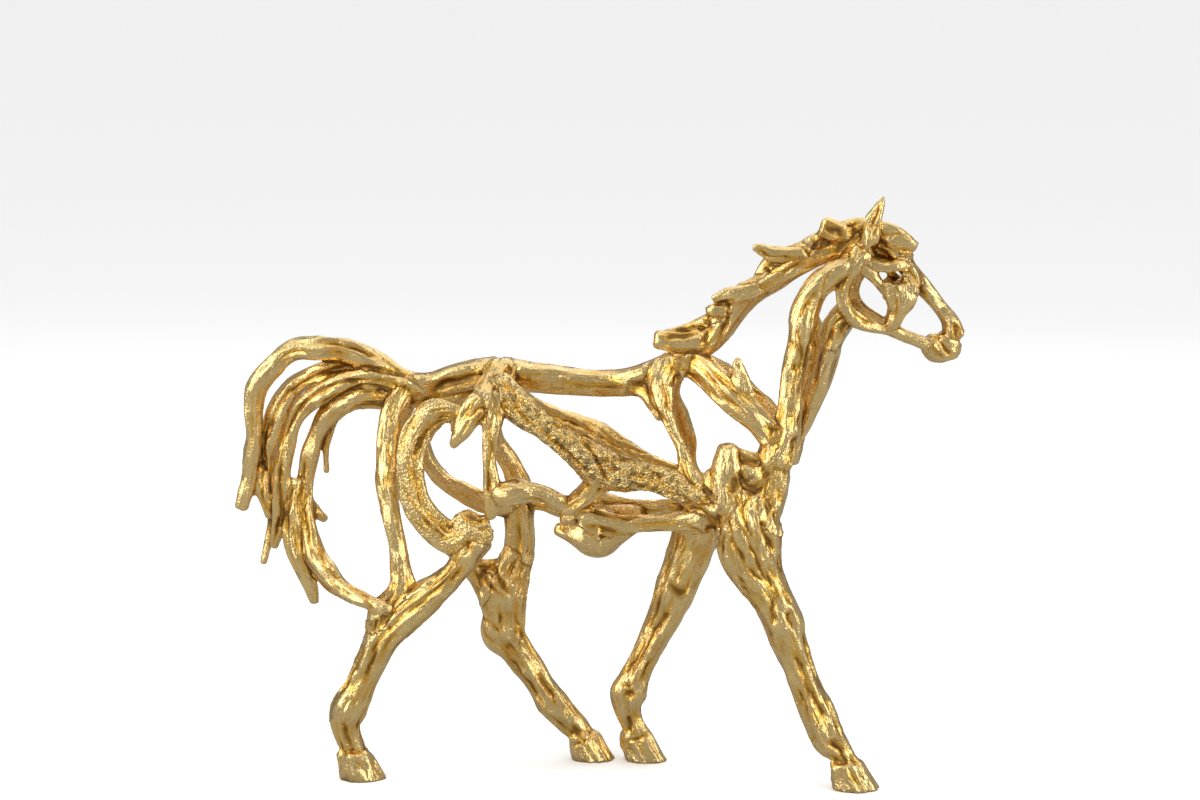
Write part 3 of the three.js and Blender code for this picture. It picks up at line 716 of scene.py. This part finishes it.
def hoof(toe, side):
    """A hoof as its corners and faces: an oval cone that leans back from its toe, with a rounded rim."""
    turn = np.arange(HOOF_SIDES) * 2 * math.pi / HOOF_SIDES
    rings = []
    for up, girth in HOOF_RINGS:
        middle = toe - HOOF_SPREAD * HOOF_LENGTH / 2 - HOOF_LEAN * max(up, 0) * MM
        across = middle + np.cos(turn) * girth * HOOF_LENGTH / 2
        deep = side * STANCE / 2 + np.sin(turn) * girth * HOOF_WIDTH / 2
        rings.append(np.stack([across, deep, np.full(HOOF_SIDES, up * MM)], axis=1))
    corners = np.vstack(rings)
    faces = [tuple(reversed(range(HOOF_SIDES)))]
    for ring in range(len(rings) - 1):
        low = ring * HOOF_SIDES
        high = low + HOOF_SIDES
        for step in range(HOOF_SIDES):
            after = (step + 1) % HOOF_SIDES
            faces.append((low + step, low + after, high + after, high + step))
    faces.append(tuple(range(len(corners) - HOOF_SIDES, len(corners))))
    return corners, faces


def toe_x(across, side):
    down = NEAR_SOLE_DOWN if side == NEAR else FAR_SOLE_DOWN
    return place(across, down, side * FOOT)[0]


def joined(name, parts):
    """One mesh object from a list of (corners, faces)."""
    corners = np.vstack([part[0] for part in parts])
    faces = []
    start = 0
    for part_corners, part_faces in parts:
        faces.extend(tuple(index + start for index in face) for face in part_faces)
        start += len(part_corners)
    mesh = bpy.data.meshes.new(name)
    mesh.from_pydata(corners.tolist(), [], faces)
    mesh.validate()
    piece = bpy.data.objects.new(name, mesh)
    bpy.context.scene.collection.objects.link(piece)
    return piece


def applied(piece, name, kind, **settings):
    """Adds a modifier, sets it and applies it."""
    modifier = piece.modifiers.new(name, kind)
    for setting, value in settings.items():
        setattr(modifier, setting, value)
    bpy.context.view_layer.update()
    graph = bpy.context.evaluated_depsgraph_get()
    mesh = bpy.data.meshes.new_from_object(piece.evaluated_get(graph))
    piece.modifiers.clear()
    old = piece.data
    piece.data = mesh
    bpy.data.meshes.remove(old)


def corners_of(mesh):
    flat = np.empty(len(mesh.vertices) * 3)
    mesh.vertices.foreach_get("co", flat)
    return flat.reshape(-1, 3)


def put_corners(mesh, corners):
    mesh.vertices.foreach_set("co", corners.ravel())
    mesh.update()


def normals_of(mesh):
    flat = np.empty(len(mesh.vertices) * 3)
    mesh.vertex_normals.foreach_get("vector", flat)
    return flat.reshape(-1, 3)


def neighbour_mean(values, edges, count):
    """The mean of each corner's neighbours, for a column or several columns of values."""
    total = np.empty_like(values)
    for column in range(values.shape[1]):
        total[:, column] = (
            np.bincount(edges[:, 0], values[edges[:, 1], column], len(values))
            + np.bincount(edges[:, 1], values[edges[:, 0], column], len(values)))
    return total / count[:, None]


def edges_of(mesh):
    flat = np.empty(len(mesh.edges) * 2, np.int32)
    mesh.edges.foreach_get("vertices", flat)
    edges = flat.reshape(-1, 2)
    count = np.maximum(np.bincount(edges.ravel(), minlength=len(mesh.vertices)), 1)
    return edges, count


def relaxed(values, mesh, passes, share=0.5):
    """Values evened out over the surface."""
    edges, count = edges_of(mesh)
    for _ in range(passes):
        values = values * (1 - share) + neighbour_mean(values, edges, count) * share
    return values


# How many centre points near a corner shape it, and how quickly the nearer strand wins
NEAR_POINTS = 6
NEAR_BIAS = 7.0
CENTRE_STEP = 2.4 * MM
# How far each strand's pattern is shifted along, so that no two strands are alike
PATTERN_SHIFT = 0.37


def strand_places(forms, corners):
    """For each corner, its nearest strands' points: places in the strands' own directions, and shares."""
    paths = [sampled(form, CENTRE_STEP) for form in forms]
    centre = np.vstack([path["centre"] for path in paths])
    tree = KDTree(len(centre))
    for index, point in enumerate(centre):
        tree.insert(point, index)
    tree.balance()
    found = np.array([[hit[1] for hit in tree.find_n(corner, NEAR_POINTS)] for corner in corners])
    half = np.concatenate([path["half"] for path in paths])
    along = np.concatenate([path["along"] + PATTERN_SHIFT * number for number, path in enumerate(paths)])
    frames = {way: np.vstack([path[way] for path in paths]) for way in ("tangent", "wide", "thick")}
    strand_of = np.repeat(np.arange(len(paths)), [len(path["half"]) for path in paths])
    places = []
    shares = []
    for column in range(NEAR_POINTS):
        hit = found[:, column]
        off = corners - centre[hit]
        own = np.stack([along[hit] + (off * frames["tangent"][hit]).sum(axis=1),
                        (off * frames["wide"][hit]).sum(axis=1),
                        (off * frames["thick"][hit]).sum(axis=1)], axis=1)
        places.append(own)
        shares.append(np.exp(-NEAR_BIAS * np.linalg.norm(off, axis=1) / half[hit]))
    shares = np.array(shares)
    shares = shares / shares.sum(axis=0)
    fold = np.array([form["fold"] for form in forms])[strand_of] * np.minimum(half / FOLD_FULL_HALF, 1)
    crumple = np.array([form["crumple"] for form in forms])[strand_of]
    return found, places, shares, fold, crumple


def drawn(corners):
    """Where corners lie on the drawing: across and down, in squares."""
    ray = corners - EYE_POINT
    reach = ray @ SIGHT * (SQUARE / EYE_BACK)
    across = DRAWING_MIDDLE[0] + ray @ SIGHT_RIGHT / reach
    down = DRAWING_MIDDLE[1] - ray @ SIGHT_UP / reach
    return np.stack([across, down], axis=1)


def line_distance(spots, line):
    """How far each spot is from a line of spots, in squares, and how far along the line, from 0 to 1."""
    nearest = np.full(len(spots), np.inf)
    along = np.zeros(len(spots))
    for leg, (start, end) in enumerate(zip(line[:-1], line[1:])):
        way = end - start
        share = np.clip(((spots - start) @ way) / max(way @ way, 1e-9), 0, 1)
        away = np.linalg.norm(spots - start - share[:, None] * way, axis=1)
        along = np.where(away < nearest, (leg + share) / (len(line) - 1), along)
        nearest = np.minimum(nearest, away)
    return nearest, along


# A groove this deep counts as a full hollow and takes the full painted shade and painted bounce light
GROOVE_FULL = 1.8 * MM
# How far a groove wanders, in squares, and over what length; how much its width swells and shrinks
WANDER = 1.7
WANDER_LENGTH = 6 * MM
SWELL = 0.55
SWELL_LENGTH = 9 * MM
# How steeply a long groove runs out at its ends, and its share of depth there
RUN_OUT = 3.5
END_DEPTH = 0.3
# How far out a groove is reckoned, in half widths, and how soon it fades where the surface turns away
GROOVE_REACH = 3
FACING_GAIN = 2


def groove_depth(corners, normals):
    """How deep each corner is pressed in: the drawn grooves, the same ones on the far side, and the
    inner ones."""
    depth = np.zeros(len(corners))
    sideways = corners[:, 1]
    spread = corners / WANDER_LENGTH
    wander = WANDER * np.stack([CRUSH(spread), CRUSH(spread + SHIFTS[0])], axis=1)
    swell = 1 + SWELL * CRUSH(corners / SWELL_LENGTH + SHIFTS[2])
    rounds = [
        (grooves(), 1, sideways < GROOVE_PAST),
        (grooves(), -1, sideways > -GROOVE_PAST),
        (inner_grooves(), 1, sideways > INNER_START),
    ]
    for lines, turned, front in rounds:
        flip = np.array([1, turned, 1])
        spots = drawn(corners * flip) + wander
        facing = np.clip(-(normals * flip) @ SIGHT * FACING_GAIN, 0, 1)
        for line, half, sink in lines:
            low = np.min(line, axis=0) - GROOVE_REACH * half
            high = np.max(line, axis=0) + GROOVE_REACH * half
            close = np.flatnonzero(front & (spots > low).all(axis=1) & (spots < high).all(axis=1))
            if not len(close):
                continue
            away, along = line_distance(spots[close], np.array(line, float))
            away = away / (half * swell[close])
            run_out = 1
            if len(line) > 2:
                run_out = np.clip(np.minimum(along, 1 - along) * RUN_OUT + END_DEPTH, 0, 1)
            press = sink * MM * np.exp(-away * away) * facing[close] * run_out * swell[close]
            depth[close] = np.maximum(depth[close], press)
    return depth


def hand_worked(piece, forms):
    """Works folds along the strands, crushed foil and the drawn grooves into the surface."""
    mesh = piece.data
    corners = corners_of(mesh)
    normals = normals_of(mesh)
    found, places, shares, fold, crumple = strand_places(forms, corners)
    height = LUMP_HEIGHT * LUMPS(corners / LUMP_LENGTH)
    for column in range(NEAR_POINTS):
        own = places[column] / np.array([FOLD_ALONG, FOLD_ACROSS, FOLD_ACROSS])
        broad = FOLDS(own * BROAD_COUNT + SHIFTS[1])
        ridge = RIDGE_LEVEL - RIDGE_STEEP * np.abs(FOLDS(own))
        fine = RIDGE_LEVEL - RIDGE_STEEP * np.abs(FOLDS(own * FINE_COUNT + SHIFTS[3]))
        folded = BROAD_FOLD * broad + RIDGE_FOLD * ridge + FINE_FOLD * fine
        height += shares[column] * fold[found[:, column]] * folded
        crumpled = CRUSH(places[column] / [CRUMPLE_ALONG, CRUMPLE_ACROSS, CRUMPLE_ACROSS])
        crush = CRUSH_LEVEL - RIDGE_STEEP * np.abs(crumpled)
        height += shares[column] * crumple[found[:, column]] * CRUMPLE_HEIGHT * crush
    pressed = groove_depth(corners, normals)
    height -= pressed
    put_corners(mesh, corners + normals * height[:, None])
    store(mesh, "groove", pressed / GROOVE_FULL)


def cut_flat(piece):
    """Cuts the soles flat on the surface that the figure stands on."""
    build = bmesh.new()
    build.from_mesh(piece.data)
    everything = build.verts[:] + build.edges[:] + build.faces[:]
    bmesh.ops.bisect_plane(
        build, geom=everything, plane_co=(0, 0, 0), plane_no=(0, 0, -1), clear_outer=True)
    rim = [edge for edge in build.edges if edge.is_boundary]
    bmesh.ops.holes_fill(build, edges=rim, sides=0)
    bmesh.ops.triangulate(build, faces=build.faces[:])
    build.to_mesh(piece.data)
    build.free()


def keep_largest(piece):
    """Leaves out loose crumbs, so that the figure is one cast piece."""
    build = bmesh.new()
    build.from_mesh(piece.data)
    build.verts.ensure_lookup_table()
    seen = np.zeros(len(build.verts), bool)
    groups = []
    for start in range(len(build.verts)):
        if seen[start]:
            continue
        group = [start]
        seen[start] = True
        for index in group:
            for edge in build.verts[index].link_edges:
                other = edge.other_vert(build.verts[index]).index
                if not seen[other]:
                    seen[other] = True
                    group.append(other)
        groups.append(group)
    largest = max(groups, key=len)
    loose = [build.verts[index] for group in groups if group is not largest for index in group]
    bmesh.ops.delete(build, geom=loose, context="VERTS")
    build.to_mesh(piece.data)
    build.free()


def store(mesh, name, values):
    layer = mesh.attributes.new(name, "FLOAT", "POINT")
    layer.data.foreach_set("value", values.astype(np.float32))


def store_places(mesh, name, values):
    layer = mesh.attributes.new(name, "FLOAT_VECTOR", "POINT")
    layer.data.foreach_set("vector", values.astype(np.float32).ravel())


HOLLOW_PASSES = 26
HOLLOW_DEPTH = 0.6 * MM


def mark_surface(piece, forms):
    """Stores what the finish follows: hollows, ridges, crushed foil and the strands' own directions."""
    mesh = piece.data
    corners = corners_of(mesh)
    normals = normals_of(mesh)
    even = relaxed(corners, mesh, HOLLOW_PASSES)
    inset = ((even - corners) * normals).sum(axis=1) / HOLLOW_DEPTH
    found, places, shares, _fold, crumple = strand_places(forms, corners)
    best = shares.argmax(axis=0)
    grain = np.array(places)[best, np.arange(len(corners))]
    groove = np.empty(len(corners))
    mesh.attributes["groove"].data.foreach_get("value", groove)
    # The hollow mask carries painted bounce light and painted shade, the ridge mask a painted highlight,
    # and the crushed mask a painted dark reflection besides the crushed foil's relief
    store(mesh, "hollow", np.clip(np.maximum(inset, groove), 0, 1))
    store(mesh, "ridge", np.clip(-inset, 0, 1))
    store(mesh, "crushed", (shares * crumple[found].T).sum(axis=0) / MM)
    store_places(mesh, "grain", grain)


def figure():
    """The whole figure as one mesh: strands and hooves run together, then worked by hand."""
    forms = [
        *back(), *croup(), *hindquarter(), *flank(), *shoulder(),
        *neck(), *mane(), *head(), *tail(), *legs(),
    ]
    parts = [tube(form) for form in forms]
    for across, side in HOOVES:
        parts.append(hoof(toe_x(across, side), side))
    piece = joined("horse_figure", parts)
    applied(piece, "run_together", "REMESH", mode="VOXEL", voxel_size=VOXEL, use_smooth_shade=True)
    corners = relaxed(corners_of(piece.data), piece.data, FILLET_PASSES)
    put_corners(piece.data, corners)
    keep_largest(piece)
    hand_worked(piece, forms)
    cut_flat(piece)
    triangles = len(piece.data.polygons)
    if triangles > TRIANGLE_LIMIT:
        applied(piece, "thin_out", "DECIMATE", decimate_type="COLLAPSE", ratio=TRIANGLE_LIMIT / triangles)
    mark_surface(piece, forms)
    piece.data.polygons.foreach_set("use_smooth", np.ones(len(piece.data.polygons), bool))
    corners = corners_of(piece.data)
    shift = (np.array(CAD_LOW) + np.array(CAD_HIGH)) / 2 - (corners.min(axis=0) + corners.max(axis=0)) / 2
    shift[2] = 0
    put_corners(piece.data, corners + shift)
    return piece, shift


def group_of(name, inputs, outputs):
    """An empty shader node group with named sockets."""
    group = bpy.data.node_groups.new(name, "ShaderNodeTree")
    for socket, kind, value in inputs:
        made = group.interface.new_socket(socket, in_out="INPUT", socket_type=kind)
        if value is not None:
            made.default_value = value
    for socket, kind in outputs:
        group.interface.new_socket(socket, in_out="OUTPUT", socket_type=kind)
    return group


# A mix node's two colour sockets
FIRST_COLOR = 6
SECOND_COLOR = 7


class Wiring:
    """Short words for adding and linking nodes in one tree."""

    def __init__(self, tree):
        self.tree = tree

    def add(self, kind, links=None, **settings):
        name = kind if kind.startswith("NodeGroup") else "ShaderNode" + kind
        node = self.tree.nodes.new(name)
        for setting, value in settings.items():
            setattr(node, setting, value)
        for socket, source in (links or {}).items():
            self.feed(node.inputs[socket], source)
        return node

    def feed(self, socket, source):
        if isinstance(source, bpy.types.NodeSocket):
            self.tree.links.new(source, socket)
        else:
            socket.default_value = source

    def reckon(self, kind, first, second, third=None, clamp=False):
        node = self.add("Math", operation=kind, use_clamp=clamp)
        self.feed(node.inputs[0], first)
        self.feed(node.inputs[1], second)
        if third is not None:
            self.feed(node.inputs[2], third)
        return node.outputs[0]

    def span(self, value, low, high, start=0.0, end=1.0):
        node = self.add("MapRange", {"Value": value, "From Min": low, "From Max": high,
                                     "To Min": start, "To Max": end}, interpolation_type="SMOOTHSTEP")
        return node.outputs["Result"]

    def blend(self, share, first, second):
        node = self.add("Mix", data_type="RGBA")
        self.feed(node.inputs[0], share)
        self.feed(node.inputs[FIRST_COLOR], first)
        self.feed(node.inputs[SECOND_COLOR], second)
        return node.outputs[2]

    def vectors(self, kind, first, second):
        node = self.add("VectorMath", operation=kind)
        self.feed(node.inputs[0], first)
        self.feed(node.inputs[1], second)
        return node.outputs["Value" if kind == "DOT_PRODUCT" else "Vector"]

    def cells(self, places, count, feature="F1"):
        settings = {"Vector": places, "Scale": count, "Randomness": 1.0}
        return self.add("TexVoronoi", settings, feature=feature)

    def facets(self, places, counts):
        """Flat patches, each tilted its own way, as a height."""
        places = self.vectors("MULTIPLY", places, counts)
        patches = self.cells(places, 1.0)
        off = self.vectors("SUBTRACT", places, patches.outputs["Position"])
        tilt = self.vectors("SUBTRACT", patches.outputs["Color"], (0.5, 0.5, 0.5))
        return self.vectors("DOT_PRODUCT", off, tilt)

    def noise(self, places, scale, detail=3.0, rough=0.55):
        node = self.add("TexNoise", {"Vector": places, "Scale": scale, "Detail": detail,
                                     "Roughness": rough})
        return node.outputs["Fac"]


# The leaf's relief: cells to the metre, along the strand and across it, heights, and shares of a cell
FACETS = (58.0, 135.0, 135.0)
FACET_RISE = 4.3
SMALL_FACETS = (170.0, 400.0, 400.0)
SMALL_FACET_RISE = 0.4
CREASES = (60.0, 330.0, 330.0)
CREASE_RISE = 1.2
PITS = 150.0
PIT_SIZE = 0.2
PIT_RISE = 0.35
CRUSHED_CELLS = 420.0
CRUSHED_EDGE = 0.35
CRUSHED_RISE = 0.8


def foil_relief():
    """The leaf's fine relief: flat tooled facets along the strand, creases between them, and pits."""
    group = group_of(
        "foil_relief",
        [("Grain", "NodeSocketVector", None), ("Place", "NodeSocketVector", None),
         ("Crushed", "NodeSocketFloat", 0.0)],
        [("Height", "NodeSocketFloat")])
    wire = Wiring(group)
    given = wire.add("NodeGroupInput")
    grain = given.outputs["Grain"]
    place = given.outputs["Place"]
    broad = wire.facets(grain, FACETS)
    small = wire.facets(grain, SMALL_FACETS)
    creases = wire.noise(wire.vectors("MULTIPLY", grain, CREASES), 1.0)
    crease_lines = wire.reckon("ABSOLUTE", wire.reckon("SUBTRACT", creases, 0.5), 0.0)
    pits = wire.span(wire.cells(place, PITS).outputs["Distance"], 0.0, PIT_SIZE)
    net = wire.cells(place, CRUSHED_CELLS, "DISTANCE_TO_EDGE")
    crumple = wire.span(net.outputs["Distance"], 0.0, CRUSHED_EDGE)
    height = wire.reckon("MULTIPLY", crease_lines, CREASE_RISE)
    height = wire.reckon("MULTIPLY_ADD", broad, FACET_RISE, height)
    height = wire.reckon("MULTIPLY_ADD", small, SMALL_FACET_RISE, height)
    height = wire.reckon("MULTIPLY_ADD", pits, PIT_RISE, height)
    crushed = wire.reckon("MULTIPLY", wire.reckon("ADD", crumple, small), given.outputs["Crushed"])
    height = wire.reckon("MULTIPLY_ADD", crushed, CRUSHED_RISE, height)
    out = wire.add("NodeGroupOutput")
    wire.feed(out.inputs["Height"], height)
    return group


# The leaf's colours: its own tones and streaks, and painted light: a highlight, bounce light, shade and a
# dark reflection
LEAF_DEEP = (0.85, 0.50, 0.10, 1)
LEAF_PALE = (0.93, 0.60, 0.155, 1)
LEAF_STREAK = (0.60, 0.32, 0.05, 1)
# Painted highlight: the pale colour laid on ridges
LEAF_PAINTED_HIGHLIGHT = (1.0, 0.79, 0.4, 1)
# Painted bounce light: the orange laid in hollows
LEAF_PAINTED_BOUNCE = (0.92, 0.47, 0.05, 1)
# Painted shade: the dark brown laid in the deepest hollows
LEAF_PAINTED_SHADE = (0.20, 0.10, 0.02, 1)
# Painted reflection: the dark olive laid in patches on crushed foil
LEAF_PAINTED_DARK_REFLECTION = (0.20, 0.13, 0.04, 1)
# Noise cells to the metre: broad clouds, fine ones, and streaks along the strand
CLOUDS = 38.0
FINE_CLOUDS = 210.0
STREAKS = (45.0, 300.0, 300.0)
# How strongly each colour shows at its fullest
STREAK_SHARE = 0.5
PAINTED_HIGHLIGHT_SHARE = 0.6
PAINTED_BOUNCE_SHARE = 0.7
PAINTED_SHADE_SHARE = 0.85
PAINTED_REFLECTION_SHARE = 0.7
# Roughness where the leaf is glossiest and dullest, and what a hollow adds
GLOSSIEST = 0.14
DULLEST = 0.3
HOLLOW_ADDS = 0.15


def leaf_tone():
    """The leaf's colour and gloss: bright on ridges as a painted highlight, orange in hollows as painted
    bounce light, and brown in the deepest of them as painted shade, with a painted dark reflection on
    crushed foil.
    """
    group = group_of(
        "leaf_tone",
        [("Grain", "NodeSocketVector", None), ("Place", "NodeSocketVector", None),
         ("Hollow", "NodeSocketFloat", 0.0), ("Ridge", "NodeSocketFloat", 0.0),
         ("Crushed", "NodeSocketFloat", 0.0)],
        [("Color", "NodeSocketColor"), ("Roughness", "NodeSocketFloat")])
    wire = Wiring(group)
    given = wire.add("NodeGroupInput")
    hollow = given.outputs["Hollow"]
    broad = wire.noise(given.outputs["Place"], CLOUDS)
    small = wire.noise(given.outputs["Place"], FINE_CLOUDS, detail=4.0, rough=0.6)
    streaks = wire.noise(wire.vectors("MULTIPLY", given.outputs["Grain"], STREAKS), 1.0)
    color = wire.blend(wire.span(broad, 0.35, 0.65), LEAF_DEEP, LEAF_PALE)
    color = wire.blend(wire.span(streaks, 0.54, 0.72, 0.0, STREAK_SHARE), color, LEAF_STREAK)
    # Painted highlight: ridges made paler and brighter
    color = wire.blend(wire.reckon("MULTIPLY", given.outputs["Ridge"], PAINTED_HIGHLIGHT_SHARE), color, LEAF_PAINTED_HIGHLIGHT)
    # Painted bounce light: hollows tinted orange
    color = wire.blend(wire.span(hollow, 0.05, 0.5, 0.0, PAINTED_BOUNCE_SHARE), color, LEAF_PAINTED_BOUNCE)
    # Painted shade: the deepest hollows and grooves darkened to brown
    painted_shade = wire.reckon("MULTIPLY", wire.span(hollow, 0.35, 0.95), wire.span(small, 0.25, 0.5, 0.5, 1.0))
    color = wire.blend(wire.reckon("MULTIPLY", painted_shade, PAINTED_SHADE_SHARE), color, LEAF_PAINTED_SHADE)
    # Painted reflection: crushed foil darkened in patches, as if mirroring a dark part of the room
    painted_dark_reflection = wire.reckon("MULTIPLY", wire.span(small, 0.48, 0.6), given.outputs["Crushed"], clamp=True)
    color = wire.blend(wire.reckon("MULTIPLY", painted_dark_reflection, PAINTED_REFLECTION_SHARE), color, LEAF_PAINTED_DARK_REFLECTION)
    gloss = wire.span(small, 0.3, 0.7, GLOSSIEST, DULLEST)
    gloss = wire.reckon("MULTIPLY_ADD", hollow, HOLLOW_ADDS, gloss)
    out = wire.add("NodeGroupOutput")
    wire.feed(out.inputs["Color"], color)
    wire.feed(out.inputs["Roughness"], gloss)
    return group


def material_named(name):
    material = bpy.data.materials.new(name)
    material.use_nodes = True
    material.node_tree.nodes.clear()
    return material, Wiring(material.node_tree)


def gold_leaf():
    """The figure's finish: gold leaf over cast resin."""
    material, wire = material_named("gold_leaf")
    stored = ("hollow", "ridge", "crushed", "grain")
    marks = {name: wire.add("Attribute", attribute_name=name) for name in stored}
    coords = wire.add("TexCoord")
    shared = {"Grain": marks["grain"].outputs["Vector"], "Place": coords.outputs["Object"],
              "Crushed": marks["crushed"].outputs["Fac"]}
    relief = wire.add("Group", node_tree=foil_relief())
    tone = wire.add("Group", node_tree=leaf_tone())
    for socket, source in shared.items():
        wire.feed(relief.inputs[socket], source)
        wire.feed(tone.inputs[socket], source)
    wire.feed(tone.inputs["Hollow"], marks["hollow"].outputs["Fac"])
    wire.feed(tone.inputs["Ridge"], marks["ridge"].outputs["Fac"])
    bump = wire.add("Bump", {"Height": relief.outputs["Height"], "Strength": 0.9, "Distance": 0.9 * MM})
    shader = wire.add("BsdfPrincipled", {
        "Base Color": tone.outputs["Color"], "Roughness": tone.outputs["Roughness"],
        "Metallic": 1.0, "Coat Weight": 0.3, "Coat Roughness": 0.16, "Normal": bump.outputs["Normal"]})
    out = wire.add("OutputMaterial")
    wire.feed(out.inputs["Surface"], shader.outputs["BSDF"])
    return material


# The floor's own tone, and the darker one that the gold mirrors
FLOOR_TONE = (0.93, 0.93, 0.93, 1)
FLOOR_MIRRORED = (0.28, 0.28, 0.28, 1)
FLOOR_HALF = 60.0


def floor_paint():
    material, wire = material_named("floor_paint")
    rays = wire.add("LightPath")
    paint = wire.blend(rays.outputs["Is Glossy Ray"], FLOOR_TONE, FLOOR_MIRRORED)
    shader = wire.add("BsdfPrincipled", {"Base Color": paint, "Roughness": 0.9})
    out = wire.add("OutputMaterial")
    wire.feed(out.inputs["Surface"], shader.outputs["BSDF"])
    return material


def floor():
    corners = [(-FLOOR_HALF, -FLOOR_HALF, 0), (FLOOR_HALF, -FLOOR_HALF, 0),
               (FLOOR_HALF, FLOOR_HALF, 0), (-FLOOR_HALF, FLOOR_HALF, 0)]
    piece = joined("studio_floor", [(np.array(corners), [(0, 1, 2, 3)])])
    piece.data.materials.append(floor_paint())


# The soft lights: name, place, width and height in metres, and watts. They aim at the figure's middle.
SOFTBOXES = [
    ("key", (-1.2, -1.1, 0.9), (1.4, 1.5), 14),
    ("fill", (1.5, -0.9, 0.8), (1.0, 1.4), 10),
    ("overhead", (0.0, 0.1, 1.6), (2.2, 1.6), 8),
    ("behind", (0.3, 1.7, 1.5), (1.6, 1.0), 7),
]
FIGURE_MIDDLE = (0, 0, 0.22)


def softbox(name, spot, size, watts):
    light = bpy.data.lights.new(name, "AREA")
    light.shape = "RECTANGLE"
    light.size, light.size_y = size
    light.energy = watts
    lamp = bpy.data.objects.new(name, light)
    lamp.location = spot
    lamp.rotation_euler = (Vector(FIGURE_MIDDLE) - Vector(spot)).to_track_quat("-Z", "Y").to_euler()
    bpy.context.scene.collection.objects.link(lamp)


# How bright the pale room is on the floor, and how bright the gold mirrors it
ROOM_LIGHT = 1.0
ROOM_MIRRORED = 0.35


def studio():
    """Plain soft studio light: a pale room and the soft lights."""
    world = bpy.data.worlds.new("studio")
    world.use_nodes = True
    world.node_tree.nodes.clear()
    wire = Wiring(world.node_tree)
    rays = wire.add("LightPath")
    strength = wire.span(rays.outputs["Is Glossy Ray"], 0.0, 1.0, ROOM_LIGHT, ROOM_MIRRORED)
    back = wire.add("Background", {"Color": (1.0, 1.0, 1.0, 1), "Strength": strength})
    out = wire.add("OutputWorld")
    wire.feed(out.inputs["Surface"], back.outputs["Background"])
    bpy.context.scene.world = world
    for box in SOFTBOXES:
        softbox(*box)


FILM_WIDTH = 36.0


def camera(shift):
    """Stands where the drawing's eye is, and looks at its target."""
    lens = bpy.data.cameras.new("eye")
    lens.sensor_width = FILM_WIDTH
    lens.lens = FILM_WIDTH * EYE_BACK / SQUARE / DRAWING_WIDTH
    lens.clip_start = 0.05
    lens.clip_end = 200.0
    eye = bpy.data.objects.new("eye", lens)
    spot = EYE_POINT + np.array([shift[0], shift[1], 0.0])
    eye.location = spot
    eye.rotation_euler = Vector(SIGHT).to_track_quat("-Z", "Y").to_euler()
    bpy.context.scene.collection.objects.link(eye)
    bpy.context.scene.camera = eye


horse, frame_shift = figure()
camera(frame_shift)
horse.data.materials.clear()
horse.data.materials.append(gold_leaf())
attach(horse, "root")
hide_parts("horse")
floor()
studio()

bpy.context.scene.view_settings.view_transform = "Standard"
